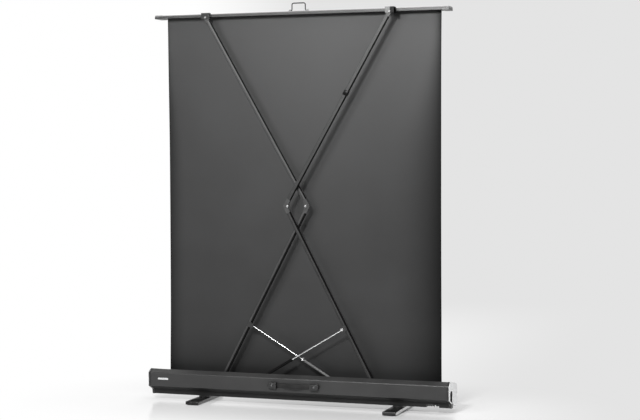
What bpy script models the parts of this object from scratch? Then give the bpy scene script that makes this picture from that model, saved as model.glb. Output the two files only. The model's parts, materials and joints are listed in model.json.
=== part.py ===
"""Pull-up projection screen: floor case, spring roller, folding double-X arms and two gas struts.

Metres, +Z up, floor at zero. X runs along the case, -Y is the back with the folding arms, +Y the viewing side.
The screen is modelled raised. Chain A starts at the left of the case, chain B at the right.
"""
import math

import bmesh
import bpy
from mathutils import Matrix, Vector

# Running gaps
GAP = 0.0003
PIN_CLEARANCE = 0.0003
OPEN_PIVOT_CLEARANCE = 0.0022

# Case
CASE_LENGTH = 1.376
CASE_DEPTH = 0.140
CASE_BOTTOM = 0.026
CASE_TOP = 0.142
CASE_WALL = 0.0025
SHOULDER_Z = 0.130
SHOULDER_RADIUS = 0.007
BELT_Z = 0.067
KEEL_REACH = 0.030
KEEL_TOP = 0.047
KEEL_TAPER = 0.005
FRONT_ROUND = 0.035
FRONT_DROP = 0.016
REAR_LIP_Y = -0.046
FRONT_LIP_Y = 0.052
END_CAP_THICKNESS = 0.012
END_CAP_OVERHANG = 0.0008
END_CAP_RIM = 0.005
END_CAP_RIM_WALL = 0.0022
POCKET_WIDTH = 0.038
POCKET_HEIGHT = 0.056
POCKET_CORNER = 0.008
POCKET_BORDER = 0.005
POCKET_DEPTH = 0.008
POCKET_Y = -0.033
POCKET_Z = 0.073

# Roller and fabric
ROLLER_Y = 0.0205
ROLLER_Z = 0.078
ROLLER_END_ROOM = 0.036
ROLLER_RADIUS = 0.017
ROLLER_WALL = 0.0015
WRAP_RADIUS = 0.0185
PLUG_LENGTH = 0.022
MANDREL_RADIUS = 0.005
MANDREL_REACH = 0.260
AXLE_RADIUS = 0.004
AXLE_BOSS_WALL = 0.005
AXLE_BOSS_LENGTH = 0.010
SPRING_WIRE = 0.0011
SPRING_TURNS = 16
SPRING_LENGTH = 0.190
FABRIC_SIDE_ROOM = 0.012
FABRIC_THICKNESS = 0.0006
IMAGE_SIDE_BORDER = 0.040
IMAGE_HEIGHT = 0.900
IMAGE_TOP_BORDER = 0.040
COATING_THICKNESS = 0.0004

# Top bar
BAR_UNDERSIDE = 1.7255
BAR_END_ROOM = 0.005
BAR_DEPTH = 0.068
BAR_HEIGHT = 0.0145
BAR_ROUND = 0.0085
BAR_WALL = 0.002
KEDER_RADIUS = 0.003
KEDER_MOUTH = 0.0026
BAR_CAP_LENGTH = 0.030
BAR_CAP_WALL = 0.0012
BAR_CAP_END = 0.003
BAIL_WIDTH = 0.062
BAIL_HEIGHT = 0.032
BAIL_WIRE = 0.0024
BAIL_CORNER = 0.008
BAIL_PIVOT_Y = 0.014
BAIL_PIVOT_LIFT = 0.0046
BAIL_PLATE = 0.0016

# Folding arms
LOWER_ARM = 0.904
BASE_PIVOT_X = 0.373
BASE_PIVOT_Z = 0.080
TOP_PIVOT_X = 0.430
TOP_PIVOT_DROP = 0.002
PLANE_A = -0.014
PLANE_B = -0.033
ARM_WIDTH = 0.018
ARM_THICKNESS = 0.010
ARM_WALL = 0.0018
ARM_CHAMFER = 0.0012
ARM_GROOVE_WIDTH = 0.006
ARM_GROOVE_DEPTH = 0.0007
ARM_PIN_RADIUS = 0.003
EYE_LENGTH = 0.022
SPIGOT_LENGTH = 0.024
ELBOW_SETBACK = 0.028
LUG_RADIUS = 0.008
LUG_CLEARANCE = 0.0006
FORK_PLATE = 0.003
RIVET_RADIUS = 0.0052
RIVET_HEIGHT = 0.0014
COLLAR_RADIUS = 0.005
BRACKET_PLATE = 0.0025
BRACKET_WIDTH = 0.040
BRACKET_RISE = 0.020
BRACKET_SKIRT = 0.0075
BASE_BRACKET_WIDTH = 0.034
BASE_BRACKET_RISE = 0.012

# Gas struts
STRUT_ALONG = 0.312
STRUT_DROP = 0.0215
STRUT_ANCHOR_X = 0.254
STRUT_ANCHOR_Z = 0.068
STRUT_CYLINDER_LENGTH = 0.268
STRUT_CYLINDER_RADIUS = 0.0062
STRUT_BORE_RADIUS = 0.0046
STRUT_BORE_DEPTH = 0.2520
STRUT_SEAL_RADIUS = 0.0070
STRUT_SEAL_LENGTH = 0.007
STRUT_ROD_RADIUS = 0.004
STRUT_ROD_LENGTH = 0.292
STRUT_EYE_RADIUS = 0.0075
STRUT_EYE_THICKNESS = 0.008
STRUT_FERRULE_RADIUS = 0.005
STRUT_FERRULE_LENGTH = 0.022
STRUT_STUD_RADIUS = 0.0035
STRUT_HEAD_RADIUS = 0.0062
STRUT_HEAD_A = 0.0014
STRUT_HEAD_B = 0.0036
ANCHOR_WIDTH = 0.030

# Feet
FOOT_X = 0.455
FOOT_LENGTH = 0.290
FOOT_WIDTH = 0.062
FOOT_THICKNESS = 0.0135
FOOT_EDGE = 0.003
SOLE_THICKNESS = 0.003
SOLE_INSET = 0.006
FOOT_BOLT_RADIUS = 0.007
FOOT_FLANGE_RADIUS = 0.014
FOOT_FLANGE_HEIGHT = 0.004
FOOT_HUB_RADIUS = 0.024

# Carry handle
HANDLE_Z = 0.097
HANDLE_HALF = 0.119
HANDLE_CAP_LENGTH = 0.042
HANDLE_CAP_HEIGHT = 0.027
HANDLE_CAP_DEPTH = 0.0190
HANDLE_CAP_WALL = 0.0025
GRIP_HEIGHT = 0.020
GRIP_THICKNESS = 0.005
GRIP_BOW = 0.016
GRIP_BULGE = 0.004
GRIP_END_CLEARANCE = 0.003

# Roller lock in the keel
LOCK_FROM_END = 0.0725
LOCK_NOTCH_LENGTH = 0.058
LOCK_NOTCH_RISE = 0.0150
LOCK_NOTCH_DEPTH = 0.012
LOCK_NOTCH_CORNER = 0.004
LOCK_Z = 0.0365
LOCK_KNOB_OFFSET = 0.0175
LOCK_KNOB_RADIUS = 0.0072
LOCK_STEM_RADIUS = 0.0032
LOCK_SLIDER_LENGTH = 0.062
LOCK_SLIDER_TOP = 0.0075
LOCK_SLIDER_FOOT = 0.0038
LOCK_SLIDER_THICKNESS = 0.003
LOCK_TEETH = 5
LOCK_TOOTH_PITCH = 0.0066
LOCK_TOOTH_WIDTH = 0.0034
LOCK_TOOTH_DROP = 0.0028

# Worked out from the sizes above
ROLLER_LENGTH = CASE_LENGTH - 2 * ROLLER_END_ROOM
FABRIC_WIDTH = ROLLER_LENGTH - 2 * FABRIC_SIDE_ROOM
IMAGE_WIDTH = FABRIC_WIDTH - 2 * IMAGE_SIDE_BORDER
BAR_LENGTH = CASE_LENGTH - 2 * BAR_END_ROOM
LOCK_X = CASE_LENGTH / 2 - LOCK_FROM_END
UPPER_ARM = LOWER_ARM + TOP_PIVOT_X - BASE_PIVOT_X
TOP_PIVOT_Z = BAR_UNDERSIDE - TOP_PIVOT_DROP
BAR_REAR = PLANE_A + ARM_THICKNESS / 2 + GAP + BRACKET_PLATE + GAP
BAR_FRONT = BAR_REAR + BAR_DEPTH
FABRIC_Y = ROLLER_Y + WRAP_RADIUS + GAP + FABRIC_THICKNESS / 2
KEDER_Z = BAR_UNDERSIDE + BAR_WALL + KEDER_RADIUS
REAR_FACE = -CASE_DEPTH / 2
ROUND_STEPS = 20


# Plain geometry
def arc(centre, radius, start, end, steps):
    """Points on an arc, angles in degrees."""
    points = []
    for index in range(steps + 1):
        angle = math.radians(start + (end - start) * index / steps)
        points.append((centre[0] + radius * math.cos(angle), centre[1] + radius * math.sin(angle)))
    return points


def offset_path(points, distance, closed):
    """Moves every edge of a path to its left by distance, with mitred corners."""
    count = len(points)
    moved = []
    for index, point in enumerate(points):
        before = points[index - 1] if closed or index > 0 else None
        after = points[(index + 1) % count] if closed or index < count - 1 else None
        normals = []
        for start, end in ((before, point), (point, after)):
            if start is not None and end is not None:
                edge = Vector(end) - Vector(start)
                normals.append(Vector((-edge.y, edge.x)).normalized())
        mean = sum(normals, Vector((0.0, 0.0))).normalized()
        reach = distance / mean.dot(normals[0])
        moved.append((point[0] + mean.x * reach, point[1] + mean.y * reach))
    return moved


def rounded_box(width, height, radius, steps=4):
    """A rectangle with round corners, centred on the origin, anticlockwise."""
    points = []
    half_width = width / 2 - radius
    half_height = height / 2 - radius
    corners = ((half_width, half_height), (-half_width, half_height))
    corners += ((-half_width, -half_height), (half_width, -half_height))
    for quarter, corner in enumerate(corners):
        points += arc(corner, radius, 90 * quarter, 90 * quarter + 90, steps)
    return points


def moved_by(points, shift):
    return [(point[0] + shift[0], point[1] + shift[1]) for point in points]


def prism(outline, low, high, axis):
    """A straight extrusion: the outline is (y, z) along X, (x, z) along Y or (x, y) along Z."""
    mesh = bmesh.new()
    corners = []
    for first, second in outline:
        place = {"X": (low, first, second), "Y": (first, low, second), "Z": (first, second, low)}[axis]
        corners.append(mesh.verts.new(place))
    face = mesh.faces.new(corners)
    sides = bmesh.ops.extrude_face_region(mesh, geom=[face])
    step = {"X": (high - low, 0, 0), "Y": (0, high - low, 0), "Z": (0, 0, high - low)}[axis]
    fresh = [item for item in sides["geom"] if isinstance(item, bmesh.types.BMVert)]
    bmesh.ops.translate(mesh, verts=fresh, vec=step)
    bmesh.ops.recalc_face_normals(mesh, faces=mesh.faces)
    return mesh


def turned(profile, axis, closed=False, steps=ROUND_STEPS):
    """A turned solid from (radius, along) points; closed joins the last point to the first round a bore."""
    mesh = bmesh.new()
    rings = []
    for radius, along in profile:
        ring = []
        for index in range(steps if radius > 0 else 1):
            angle = 2 * math.pi * index / steps
            across = (radius * math.cos(angle), radius * math.sin(angle))
            place = {"X": (along, *across), "Y": (across[0], along, across[1]), "Z": (*across, along)}[axis]
            ring.append(mesh.verts.new(place))
        rings.append(ring)
    pairs = list(zip(rings, rings[1:]))
    if closed:
        pairs.append((rings[-1], rings[0]))
    for near, far in pairs:
        for index in range(steps):
            after = (index + 1) % steps
            quad = [near[index % len(near)], near[after % len(near)], far[after % len(far)], far[index % len(far)]]
            corners = list(dict.fromkeys(quad))
            if len(corners) > 2:
                mesh.faces.new(corners)
    bmesh.ops.recalc_face_normals(mesh, faces=mesh.faces)
    return mesh


def rod(radius, low, high, axis, steps=ROUND_STEPS):
    return turned([(0, low), (radius, low), (radius, high), (0, high)], axis, steps=steps)


def pipe(outer, inner, low, high, axis, steps=ROUND_STEPS):
    return turned([(inner, low), (outer, low), (outer, high), (inner, high)], axis, closed=True, steps=steps)


def shifted(mesh, vector):
    bmesh.ops.translate(mesh, verts=mesh.verts, vec=vector)
    return mesh


def transformed(mesh, matrix):
    bmesh.ops.transform(mesh, matrix=matrix, verts=mesh.verts)
    return mesh


def bevelled(mesh, width, segments, wanted):
    """Rounds the edges for which wanted(edge) holds."""
    edges = [edge for edge in mesh.edges if wanted(edge)]
    bmesh.ops.bevel(mesh, geom=edges, offset=width, segments=segments, profile=0.5, affect="EDGES")
    return mesh


def combined(mesh, other, operation):
    """Boolean of two closed meshes; both are used up."""
    pair = []
    for source in (mesh, other):
        data = bpy.data.meshes.new("operand")
        source.to_mesh(data)
        source.free()
        item = bpy.data.objects.new("operand", data)
        bpy.context.scene.collection.objects.link(item)
        pair.append(item)
    modifier = pair[0].modifiers.new("join", "BOOLEAN")
    modifier.operation = operation
    modifier.solver = "EXACT"
    modifier.object = pair[1]
    bpy.context.view_layer.update()
    evaluated = pair[0].evaluated_get(bpy.context.evaluated_depsgraph_get())
    result = bmesh.new()
    result.from_mesh(evaluated.to_mesh())
    evaluated.to_mesh_clear()
    for item in pair:
        data = item.data
        bpy.data.objects.remove(item)
        bpy.data.meshes.remove(data)
    return result


def joined(mesh, *others):
    for other in others:
        mesh = combined(mesh, other, "UNION")
    return mesh


def cut(mesh, *others):
    for other in others:
        mesh = combined(mesh, other, "DIFFERENCE")
    return mesh


# Materials and nodes
FINISHES = {
    "case_black": ((0.030, 0.031, 0.033), 0.48, 0.2),
    "silver_cap": ((0.78, 0.79, 0.80), 0.35, 0.6),
    "bar_black": ((0.035, 0.036, 0.038), 0.38, 0.5),
    "arm_grey": ((0.055, 0.056, 0.058), 0.40, 0.6),
    "cast_black": ((0.020, 0.020, 0.021), 0.45, 0.3),
    "chrome": ((0.75, 0.76, 0.77), 0.12, 1.0),
    "steel": ((0.55, 0.55, 0.56), 0.30, 1.0),
    "strut_grey": ((0.035, 0.035, 0.037), 0.30, 0.4),
    "rubber": ((0.015, 0.015, 0.015), 0.80, 0.0),
    "black_fabric": ((0.028, 0.028, 0.030), 0.55, 0.0),
    "white_coating": ((0.86, 0.86, 0.85), 0.70, 0.0),
}


def finish(name):
    found = bpy.data.materials.get(name)
    if found:
        return found
    colour, roughness, metallic = FINISHES[name]
    made = bpy.data.materials.new(name)
    made.use_nodes = True
    shader = made.node_tree.nodes["Principled BSDF"]
    shader.inputs["Base Color"].default_value = (*colour, 1.0)
    shader.inputs["Roughness"].default_value = roughness
    shader.inputs["Metallic"].default_value = metallic
    return made


def node(name, mesh, look, location=(0, 0, 0), rotation=(0, 0, 0), parent=None):
    """One named piece; a child keeps its parent's frame."""
    data = bpy.data.meshes.new(name)
    mesh.to_mesh(data)
    mesh.free()
    data.materials.append(finish(look))
    data.shade_smooth()
    data.set_sharp_from_angle(angle=math.radians(30))
    made = bpy.data.objects.new(name, data)
    made.location = location
    made.rotation_euler = rotation
    made.parent = parent
    bpy.context.scene.collection.objects.link(made)
    return made


# Case
def case_path():
    """The outer profile as an open (y, z) path from the rear lip round the keel to the lower front lip."""
    half = CASE_DEPTH / 2
    inset = half - SHOULDER_RADIUS
    rear = arc((-inset, SHOULDER_Z - SHOULDER_RADIUS), SHOULDER_RADIUS, 110, 180, 4)
    keel = [(-half, BELT_Z), (-KEEL_REACH, KEEL_TOP), (-KEEL_REACH + KEEL_TAPER, CASE_BOTTOM)]
    round_front = arc((half - FRONT_ROUND, CASE_BOTTOM + FRONT_ROUND), FRONT_ROUND, -90, 0, 7)
    front = arc((inset, SHOULDER_Z - FRONT_DROP - SHOULDER_RADIUS), SHOULDER_RADIUS, 0, 70, 4)
    return [(REAR_LIP_Y, CASE_TOP), *rear, *keel, *round_front, *front, (FRONT_LIP_Y, CASE_TOP - FRONT_DROP)]


def inner_path():
    return offset_path(case_path(), CASE_WALL, closed=False)


def floor_height(y):
    """Height of the case's inner floor at y."""
    path = [point for point in inner_path() if point[1] < BELT_Z + CASE_WALL]
    for start, end in zip(path, path[1:]):
        if start[0] <= y <= end[0]:
            return start[1] + (end[1] - start[1]) * (y - start[0]) / (end[0] - start[0])
    return BELT_Z


def keel_wall_y(z):
    """Outer face of the rear keel wall at height z."""
    share = (z - CASE_BOTTOM) / (KEEL_TOP - CASE_BOTTOM)
    return -KEEL_REACH + KEEL_TAPER * (1 - share)


def make_case():
    outline = case_path() + inner_path()[::-1]
    shell = prism(outline, -CASE_LENGTH / 2, CASE_LENGTH / 2, "X")
    notch = rounded_box(LOCK_NOTCH_LENGTH, 2 * LOCK_NOTCH_RISE, LOCK_NOTCH_CORNER)
    notch = moved_by(notch, (LOCK_X, CASE_BOTTOM))
    shell = cut(shell, prism(notch, REAR_FACE, LOCK_NOTCH_DEPTH, "Y"))
    node("case_shell", shell, "case_black")
    for side, name in ((-1, "end_cap_left"), (1, "end_cap_right")):
        make_end_cap(side, name)


def make_end_cap(side, name):
    """A moulded plate with a locating rim, a roller boss and a deep pocket on its outer face."""
    inside = side * (CASE_LENGTH / 2 + GAP)
    outside = side * (CASE_LENGTH / 2 + END_CAP_THICKNESS)
    outline = offset_path(case_path(), -END_CAP_OVERHANG, closed=True)
    plate = prism(outline, inside, outside, "X")
    face = [vert for vert in plate.verts if abs(vert.co.x - outside) < GAP]
    bevelled(plate, 0.0015, 2, lambda edge: edge.verts[0] in face and edge.verts[1] in face)
    rim_end = inside - side * END_CAP_RIM
    rim_outline = offset_path(case_path(), CASE_WALL + GAP, closed=True)
    rim = prism(rim_outline, inside + side * GAP, rim_end, "X")
    hollow = offset_path(case_path(), CASE_WALL + GAP + END_CAP_RIM_WALL, closed=True)
    rim = cut(rim, prism(hollow, inside + side * GAP * 2, rim_end - side * GAP, "X"))
    boss_end = inside - side * AXLE_BOSS_LENGTH
    boss = rod(AXLE_RADIUS + AXLE_BOSS_WALL, min(inside + side * GAP, boss_end), max(inside + side * GAP, boss_end), "X")
    shifted(boss, (0, ROLLER_Y, ROLLER_Z))
    bore_floor = inside + side * END_CAP_THICKNESS / 3
    bore_start = boss_end - side * GAP
    bore = rod(AXLE_RADIUS + PIN_CLEARANCE, min(bore_start, bore_floor), max(bore_start, bore_floor), "X")
    shifted(bore, (0, ROLLER_Y, ROLLER_Z))
    pocket_outline = moved_by(rounded_box(POCKET_WIDTH, POCKET_HEIGHT, POCKET_CORNER), (POCKET_Y, POCKET_Z))
    pocket = prism(pocket_outline, outside - side * POCKET_DEPTH, outside + side * GAP, "X")
    border = prism(offset_path(case_path(), POCKET_BORDER, closed=True), inside, outside + side * 2 * GAP, "X")
    pocket = combined(pocket, border, "INTERSECT")
    node(name, cut(joined(plate, rim, boss), bore, pocket), "silver_cap")


# Roller
def make_roller():
    """The tube turns on a fixed spring mandrel at the left and on a fixed axle at the right."""
    half = ROLLER_LENGTH / 2
    bore = ROLLER_RADIUS - ROLLER_WALL
    seat = (0, ROLLER_Y, ROLLER_Z)
    tube = node("roller_tube", pipe(ROLLER_RADIUS, bore, -half, half, "X"), "steel", seat)
    wrap = pipe(WRAP_RADIUS, ROLLER_RADIUS + GAP, -FABRIC_WIDTH / 2, FABRIC_WIDTH / 2, "X")
    node("fabric_wrap", wrap, "black_fabric", parent=tube)
    for side, name, radius in ((-1, "roller_plug_left", MANDREL_RADIUS), (1, "roller_plug_right", AXLE_RADIUS)):
        ends = sorted((side * half, side * (half - PLUG_LENGTH)))
        plug = pipe(bore - GAP, radius + PIN_CLEARANCE, ends[0], ends[1], "X")
        node(name, plug, "cast_black", parent=tube)
    pin_end = CASE_LENGTH / 2 + END_CAP_THICKNESS / 4
    mandrel = [(0, -pin_end), (AXLE_RADIUS, -pin_end), (AXLE_RADIUS, -half - GAP)]
    mandrel += [(MANDREL_RADIUS, -half - GAP), (MANDREL_RADIUS, -half + MANDREL_REACH), (0, -half + MANDREL_REACH)]
    node("spring_mandrel", turned(mandrel, "X"), "steel", seat)
    node("roller_axle", rod(AXLE_RADIUS, half - PLUG_LENGTH, pin_end, "X"), "steel", seat)
    node("roller_spring", spring_coil(-half + PLUG_LENGTH + GAP + SPRING_WIRE), "steel", parent=tube)


def spring_coil(start):
    """The torsion spring, one unbroken helix of square wire round the mandrel."""
    radius = MANDREL_RADIUS + GAP + SPRING_WIRE
    per_turn = 10
    mesh = bmesh.new()
    rings = []
    for index in range(SPRING_TURNS * per_turn + 1):
        angle = 2 * math.pi * index / per_turn
        along = start + SPRING_LENGTH * index / (SPRING_TURNS * per_turn)
        ring = []
        for across, forward in ((1, 1), (-1, 1), (-1, -1), (1, -1)):
            reach = radius + across * SPRING_WIRE * 0.7
            place = (along + forward * SPRING_WIRE * 0.7, reach * math.cos(angle), reach * math.sin(angle))
            ring.append(mesh.verts.new(place))
        rings.append(ring)
    for near, far in zip(rings, rings[1:]):
        for side in range(4):
            after = (side + 1) % 4
            mesh.faces.new((near[side], near[after], far[after], far[side]))
    mesh.faces.new(rings[0])
    mesh.faces.new(rings[-1])
    bmesh.ops.recalc_face_normals(mesh, faces=mesh.faces)
    return mesh


def make_fabric():
    """The black sheet from the roller to the top bar, and the white coating of its image area."""
    front = FABRIC_Y + FABRIC_THICKNESS / 2
    sheet = [(-FABRIC_WIDTH / 2, FABRIC_Y - FABRIC_THICKNESS / 2), (FABRIC_WIDTH / 2, FABRIC_Y - FABRIC_THICKNESS / 2)]
    sheet += [(FABRIC_WIDTH / 2, front), (-FABRIC_WIDTH / 2, front)]
    top = KEDER_Z - KEDER_RADIUS - GAP
    node("screen_fabric", prism(sheet, ROLLER_Z, top, "Z"), "black_fabric")
    image_top = BAR_UNDERSIDE - IMAGE_TOP_BORDER
    low = front + GAP
    coat = [(-IMAGE_WIDTH / 2, low), (IMAGE_WIDTH / 2, low)]
    coat += [(IMAGE_WIDTH / 2, low + COATING_THICKNESS), (-IMAGE_WIDTH / 2, low + COATING_THICKNESS)]
    node("viewing_surface", prism(coat, image_top - IMAGE_HEIGHT, image_top, "Z"), "white_coating")


# Arms
def raised_angles():
    """Angles of the lower and upper arms above level that lift the bar to its height."""
    low, high = 0.0, math.pi / 2
    for _ in range(60):
        lower = (low + high) / 2
        upper = upper_angle(lower)
        reached = LOWER_ARM * math.sin(lower) + UPPER_ARM * math.sin(upper)
        if reached < TOP_PIVOT_Z - BASE_PIVOT_Z:
            low = lower
        else:
            high = lower
    return lower, upper


def upper_angle(lower):
    return math.acos((LOWER_ARM * math.cos(lower) + TOP_PIVOT_X - BASE_PIVOT_X) / UPPER_ARM)


def arm_tilt(length):
    """The bar runs through its eye and beside its elbow pivot, half its width away."""
    return math.asin(ARM_WIDTH / 2 / length)


def arm_matrix(length, upper):
    """From the bar's own frame, eye at the origin, to the joint's frame with the pivots on the X axis."""
    tilt = Matrix.Rotation(arm_tilt(length), 4, "Y")
    if not upper:
        return tilt
    reach = length * math.cos(arm_tilt(length))
    return tilt @ Matrix.Translation((reach, 0, ARM_WIDTH / 2)) @ Matrix.Rotation(math.pi, 4, "Y")


def arm_tube(length):
    """A rectangular tube with a lengthwise groove down both broad faces."""
    half = ARM_THICKNESS / 2
    edge = ARM_WIDTH / 2
    groove = ARM_GROOVE_WIDTH / 2
    inner = half - ARM_GROOVE_DEPTH
    right = [(half, ARM_CHAMFER - edge), (half, -groove), (inner, -groove), (inner, groove), (half, groove)]
    right += [(half, edge - ARM_CHAMFER), (half - ARM_CHAMFER, edge)]
    left = [(-half + ARM_CHAMFER, edge), (-half, edge - ARM_CHAMFER), (-half, groove), (-inner, groove)]
    left += [(-inner, -groove), (-half, -groove), (-half, ARM_CHAMFER - edge), (-half + ARM_CHAMFER, -edge)]
    outline = [*right, *left, (half - ARM_CHAMFER, -edge)]
    end = length * math.cos(arm_tilt(length)) - ELBOW_SETBACK
    tube = prism(outline, EYE_LENGTH, end, "X")
    bore = rounded_box(ARM_THICKNESS - 2 * ARM_WALL, ARM_WIDTH - 2 * ARM_WALL, ARM_WALL, 2)
    return cut(tube, prism(bore, EYE_LENGTH - GAP, end + GAP, "X"))


def spigot(start, end):
    outline = rounded_box(ARM_THICKNESS - 2 * ARM_WALL - 2 * GAP, ARM_WIDTH - 2 * ARM_WALL - 2 * GAP, ARM_WALL, 2)
    return prism(outline, min(start, end), max(start, end), "X")


def arm_eye(hole):
    """The end fitting: a round eye on the pivot with a spigot in the tube."""
    half = ARM_THICKNESS / 2
    outline = arc((0, 0), ARM_WIDTH / 2, 90, 270, 10)
    outline += [(EYE_LENGTH - GAP, -ARM_WIDTH / 2), (EYE_LENGTH - GAP, ARM_WIDTH / 2)]
    body = joined(prism(outline, -half, half, "Y"), spigot(EYE_LENGTH - 2 * GAP, EYE_LENGTH + SPIGOT_LENGTH))
    return cut(body, rod(hole, -half - GAP, half + GAP, "Y"))


def elbow_knuckle(length, fold, layers):
    """Mitred end fitting whose lugs meet at the inner edge, so that the arms fold flat on each other.

    fold is the angle between the raised arms, layers the (low, high) slices of the lugs across the thickness.
    """
    tilt = arm_tilt(length)
    reach = length * math.cos(tilt)
    edge = ARM_WIDTH / 2
    start = reach - ELBOW_SETBACK + GAP
    slope = fold / 2 - tilt
    along = Vector((math.cos(slope), -math.sin(slope)))
    back = Vector((-math.sin(slope), -math.cos(slope))) * GAP
    pivot = Vector((reach, edge))
    bite = LUG_RADIUS + LUG_CLEARANCE
    corner = pivot + along * (ARM_WIDTH / math.sin(slope)) + Vector((-GAP / math.sin(slope), 0))
    round_part = arc(pivot, bite, -math.degrees(slope) - 2, -180, 8)
    body_outline = [(start, -edge), tuple(corner), *round_part, (start, edge)]
    body = prism(body_outline, -ARM_THICKNESS / 2, ARM_THICKNESS / 2, "Y")
    inner = bite + ARM_WIDTH / 4
    lug_outline = arc(pivot, LUG_RADIUS, -math.degrees(slope), 180, 14)
    lug_outline += [(reach - inner, edge - GAP), (reach - inner, -edge / 2), tuple(pivot + along * inner + back)]
    lugs = [prism(lug_outline, low, high, "Y") for low, high in layers]
    whole = joined(body, spigot(start + GAP, start - SPIGOT_LENGTH), *lugs)
    hole = rod(ARM_PIN_RADIUS + PIN_CLEARANCE, -ARM_THICKNESS, ARM_THICKNESS, "Y")
    return cut(whole, shifted(hole, (pivot.x, 0, pivot.y)))


def rivet(low, high):
    """A pin along Y with a flat head at both ends."""
    outside = low - RIVET_HEIGHT
    profile = [(0, outside), (RIVET_RADIUS * 0.8, outside), (RIVET_RADIUS, low - RIVET_HEIGHT * 0.4)]
    profile += [(RIVET_RADIUS, low), (ARM_PIN_RADIUS, low)]
    profile += [(ARM_PIN_RADIUS, high), (RIVET_RADIUS, high), (RIVET_RADIUS, high + RIVET_HEIGHT * 0.4)]
    profile += [(RIVET_RADIUS * 0.8, high + RIVET_HEIGHT), (0, high + RIVET_HEIGHT)]
    return turned(profile, "Y", steps=16)


def make_chain(letter, side, plane):
    """One folding chain: side is -1 for a chain that starts at the left of the case and 1 for the right."""
    lower, upper = raised_angles()
    fold = lower + upper
    lower_turn = 0 if side < 0 else math.pi
    base = Vector((side * BASE_PIVOT_X, plane, BASE_PIVOT_Z))
    elbow = base + Vector((-side * LOWER_ARM * math.cos(lower), 0, LOWER_ARM * math.sin(lower)))
    half = ARM_THICKNESS / 2
    fork = ((-half, -half + FORK_PLATE), (half - FORK_PLATE, half))
    tongue = ((-half + FORK_PLATE + GAP, half - FORK_PLATE - GAP),)
    hole = ARM_PIN_RADIUS + PIN_CLEARANCE
    top_hole = hole if letter == "a" else ARM_PIN_RADIUS + OPEN_PIVOT_CLEARANCE

    place = arm_matrix(LOWER_ARM, False)
    arm = node(f"lower_arm_{letter}", transformed(arm_tube(LOWER_ARM), place), "arm_grey", base, (0, -lower, lower_turn))
    node(f"base_eye_{letter}", transformed(arm_eye(hole), place), "cast_black", parent=arm)
    knuckle = elbow_knuckle(LOWER_ARM, fold, tongue)
    node(f"elbow_tongue_{letter}", transformed(knuckle, place), "cast_black", parent=arm)
    node(f"strut_clip_{letter}", strut_clip(side), "cast_black", parent=arm)

    place = arm_matrix(UPPER_ARM, True)
    turn = math.pi - lower_turn
    arm = node(f"upper_arm_{letter}", transformed(arm_tube(UPPER_ARM), place), "arm_grey", elbow, (0, -upper, turn))
    node(f"top_eye_{letter}", transformed(arm_eye(top_hole), place), "cast_black", parent=arm)
    knuckle = elbow_knuckle(UPPER_ARM, fold, fork)
    node(f"elbow_fork_{letter}", transformed(knuckle, place), "cast_black", parent=arm)
    node(f"elbow_pin_{letter}", rivet(-half - GAP, half + GAP), "chrome", parent=arm)


def strut_clip(side):
    """A plate on the back of the lower arm that carries the stud of the gas strut."""
    centre = -math.tan(arm_tilt(LOWER_ARM)) * STRUT_ALONG
    ear = STRUT_EYE_RADIUS
    outline = arc((STRUT_ALONG, -STRUT_DROP), ear, 180, 360, 8)
    outline += [(STRUT_ALONG + ARM_WIDTH * 0.7, centre - ARM_WIDTH * 0.2)]
    outline += [(STRUT_ALONG + ARM_WIDTH * 0.7, centre + ARM_WIDTH * 0.3)]
    outline += [(STRUT_ALONG - ARM_WIDTH * 0.7, centre + ARM_WIDTH * 0.3)]
    outline += [(STRUT_ALONG - ARM_WIDTH * 0.7, centre - ARM_WIDTH * 0.2)]
    near = side * (ARM_THICKNESS / 2 + GAP)
    far = near + side * BRACKET_PLATE
    plate = prism(outline, near, far, "Y")
    head = STRUT_HEAD_A if side < 0 else STRUT_HEAD_B
    stud_end = -side * (STRUT_EYE_THICKNESS / 2 + GAP)
    top = far + side * head
    profile = [(0, stud_end), (STRUT_STUD_RADIUS, stud_end), (STRUT_STUD_RADIUS, far - side * GAP)]
    profile += [(STRUT_HEAD_RADIUS, far - side * GAP), (STRUT_HEAD_RADIUS, far + side * head * 0.3)]
    profile += [(STRUT_HEAD_RADIUS * 0.75, far + side * head * 0.8), (0, top)]
    stud = shifted(turned(profile, "Y", steps=16), (STRUT_ALONG, 0, -STRUT_DROP))
    return joined(plate, stud)


def make_base(letter, side, plane):
    """A U bracket on the case floor with the pin of the lower arm, and the anchor plate of the crossing strut."""
    half = ARM_THICKNESS / 2 + GAP
    rear = plane - half - BRACKET_PLATE
    front = plane + half + BRACKET_PLATE
    top = BASE_PIVOT_Z + BASE_BRACKET_RISE
    web = BASE_PIVOT_Z - ARM_WIDTH / 2 - 2 * GAP
    breaks = [y for y, _ in inner_path() if rear < y < front and floor_height(y) < BASE_PIVOT_Z]
    ground = [(y, floor_height(y) + GAP) for y in sorted({rear, front, *breaks})]
    outline = [*ground, (front, top), (front - BRACKET_PLATE, top), (front - BRACKET_PLATE, web)]
    outline += [(rear + BRACKET_PLATE, web), (rear + BRACKET_PLATE, top), (rear, top)]
    centre = side * BASE_PIVOT_X
    bracket = prism(outline, centre - BASE_BRACKET_WIDTH / 2, centre + BASE_BRACKET_WIDTH / 2, "X")
    hole = rod(ARM_PIN_RADIUS + PIN_CLEARANCE, rear - GAP, front + GAP, "Y")
    word = "left" if side < 0 else "right"
    node(f"base_bracket_{word}", cut(bracket, shifted(hole, (centre, 0, BASE_PIVOT_Z))), "steel")
    pin = rivet(rear - plane - GAP, front - plane + GAP)
    node(f"base_pin_{word}", pin, "steel", (centre, plane, BASE_PIVOT_Z))
    make_anchor(letter, -side, plane)


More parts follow.
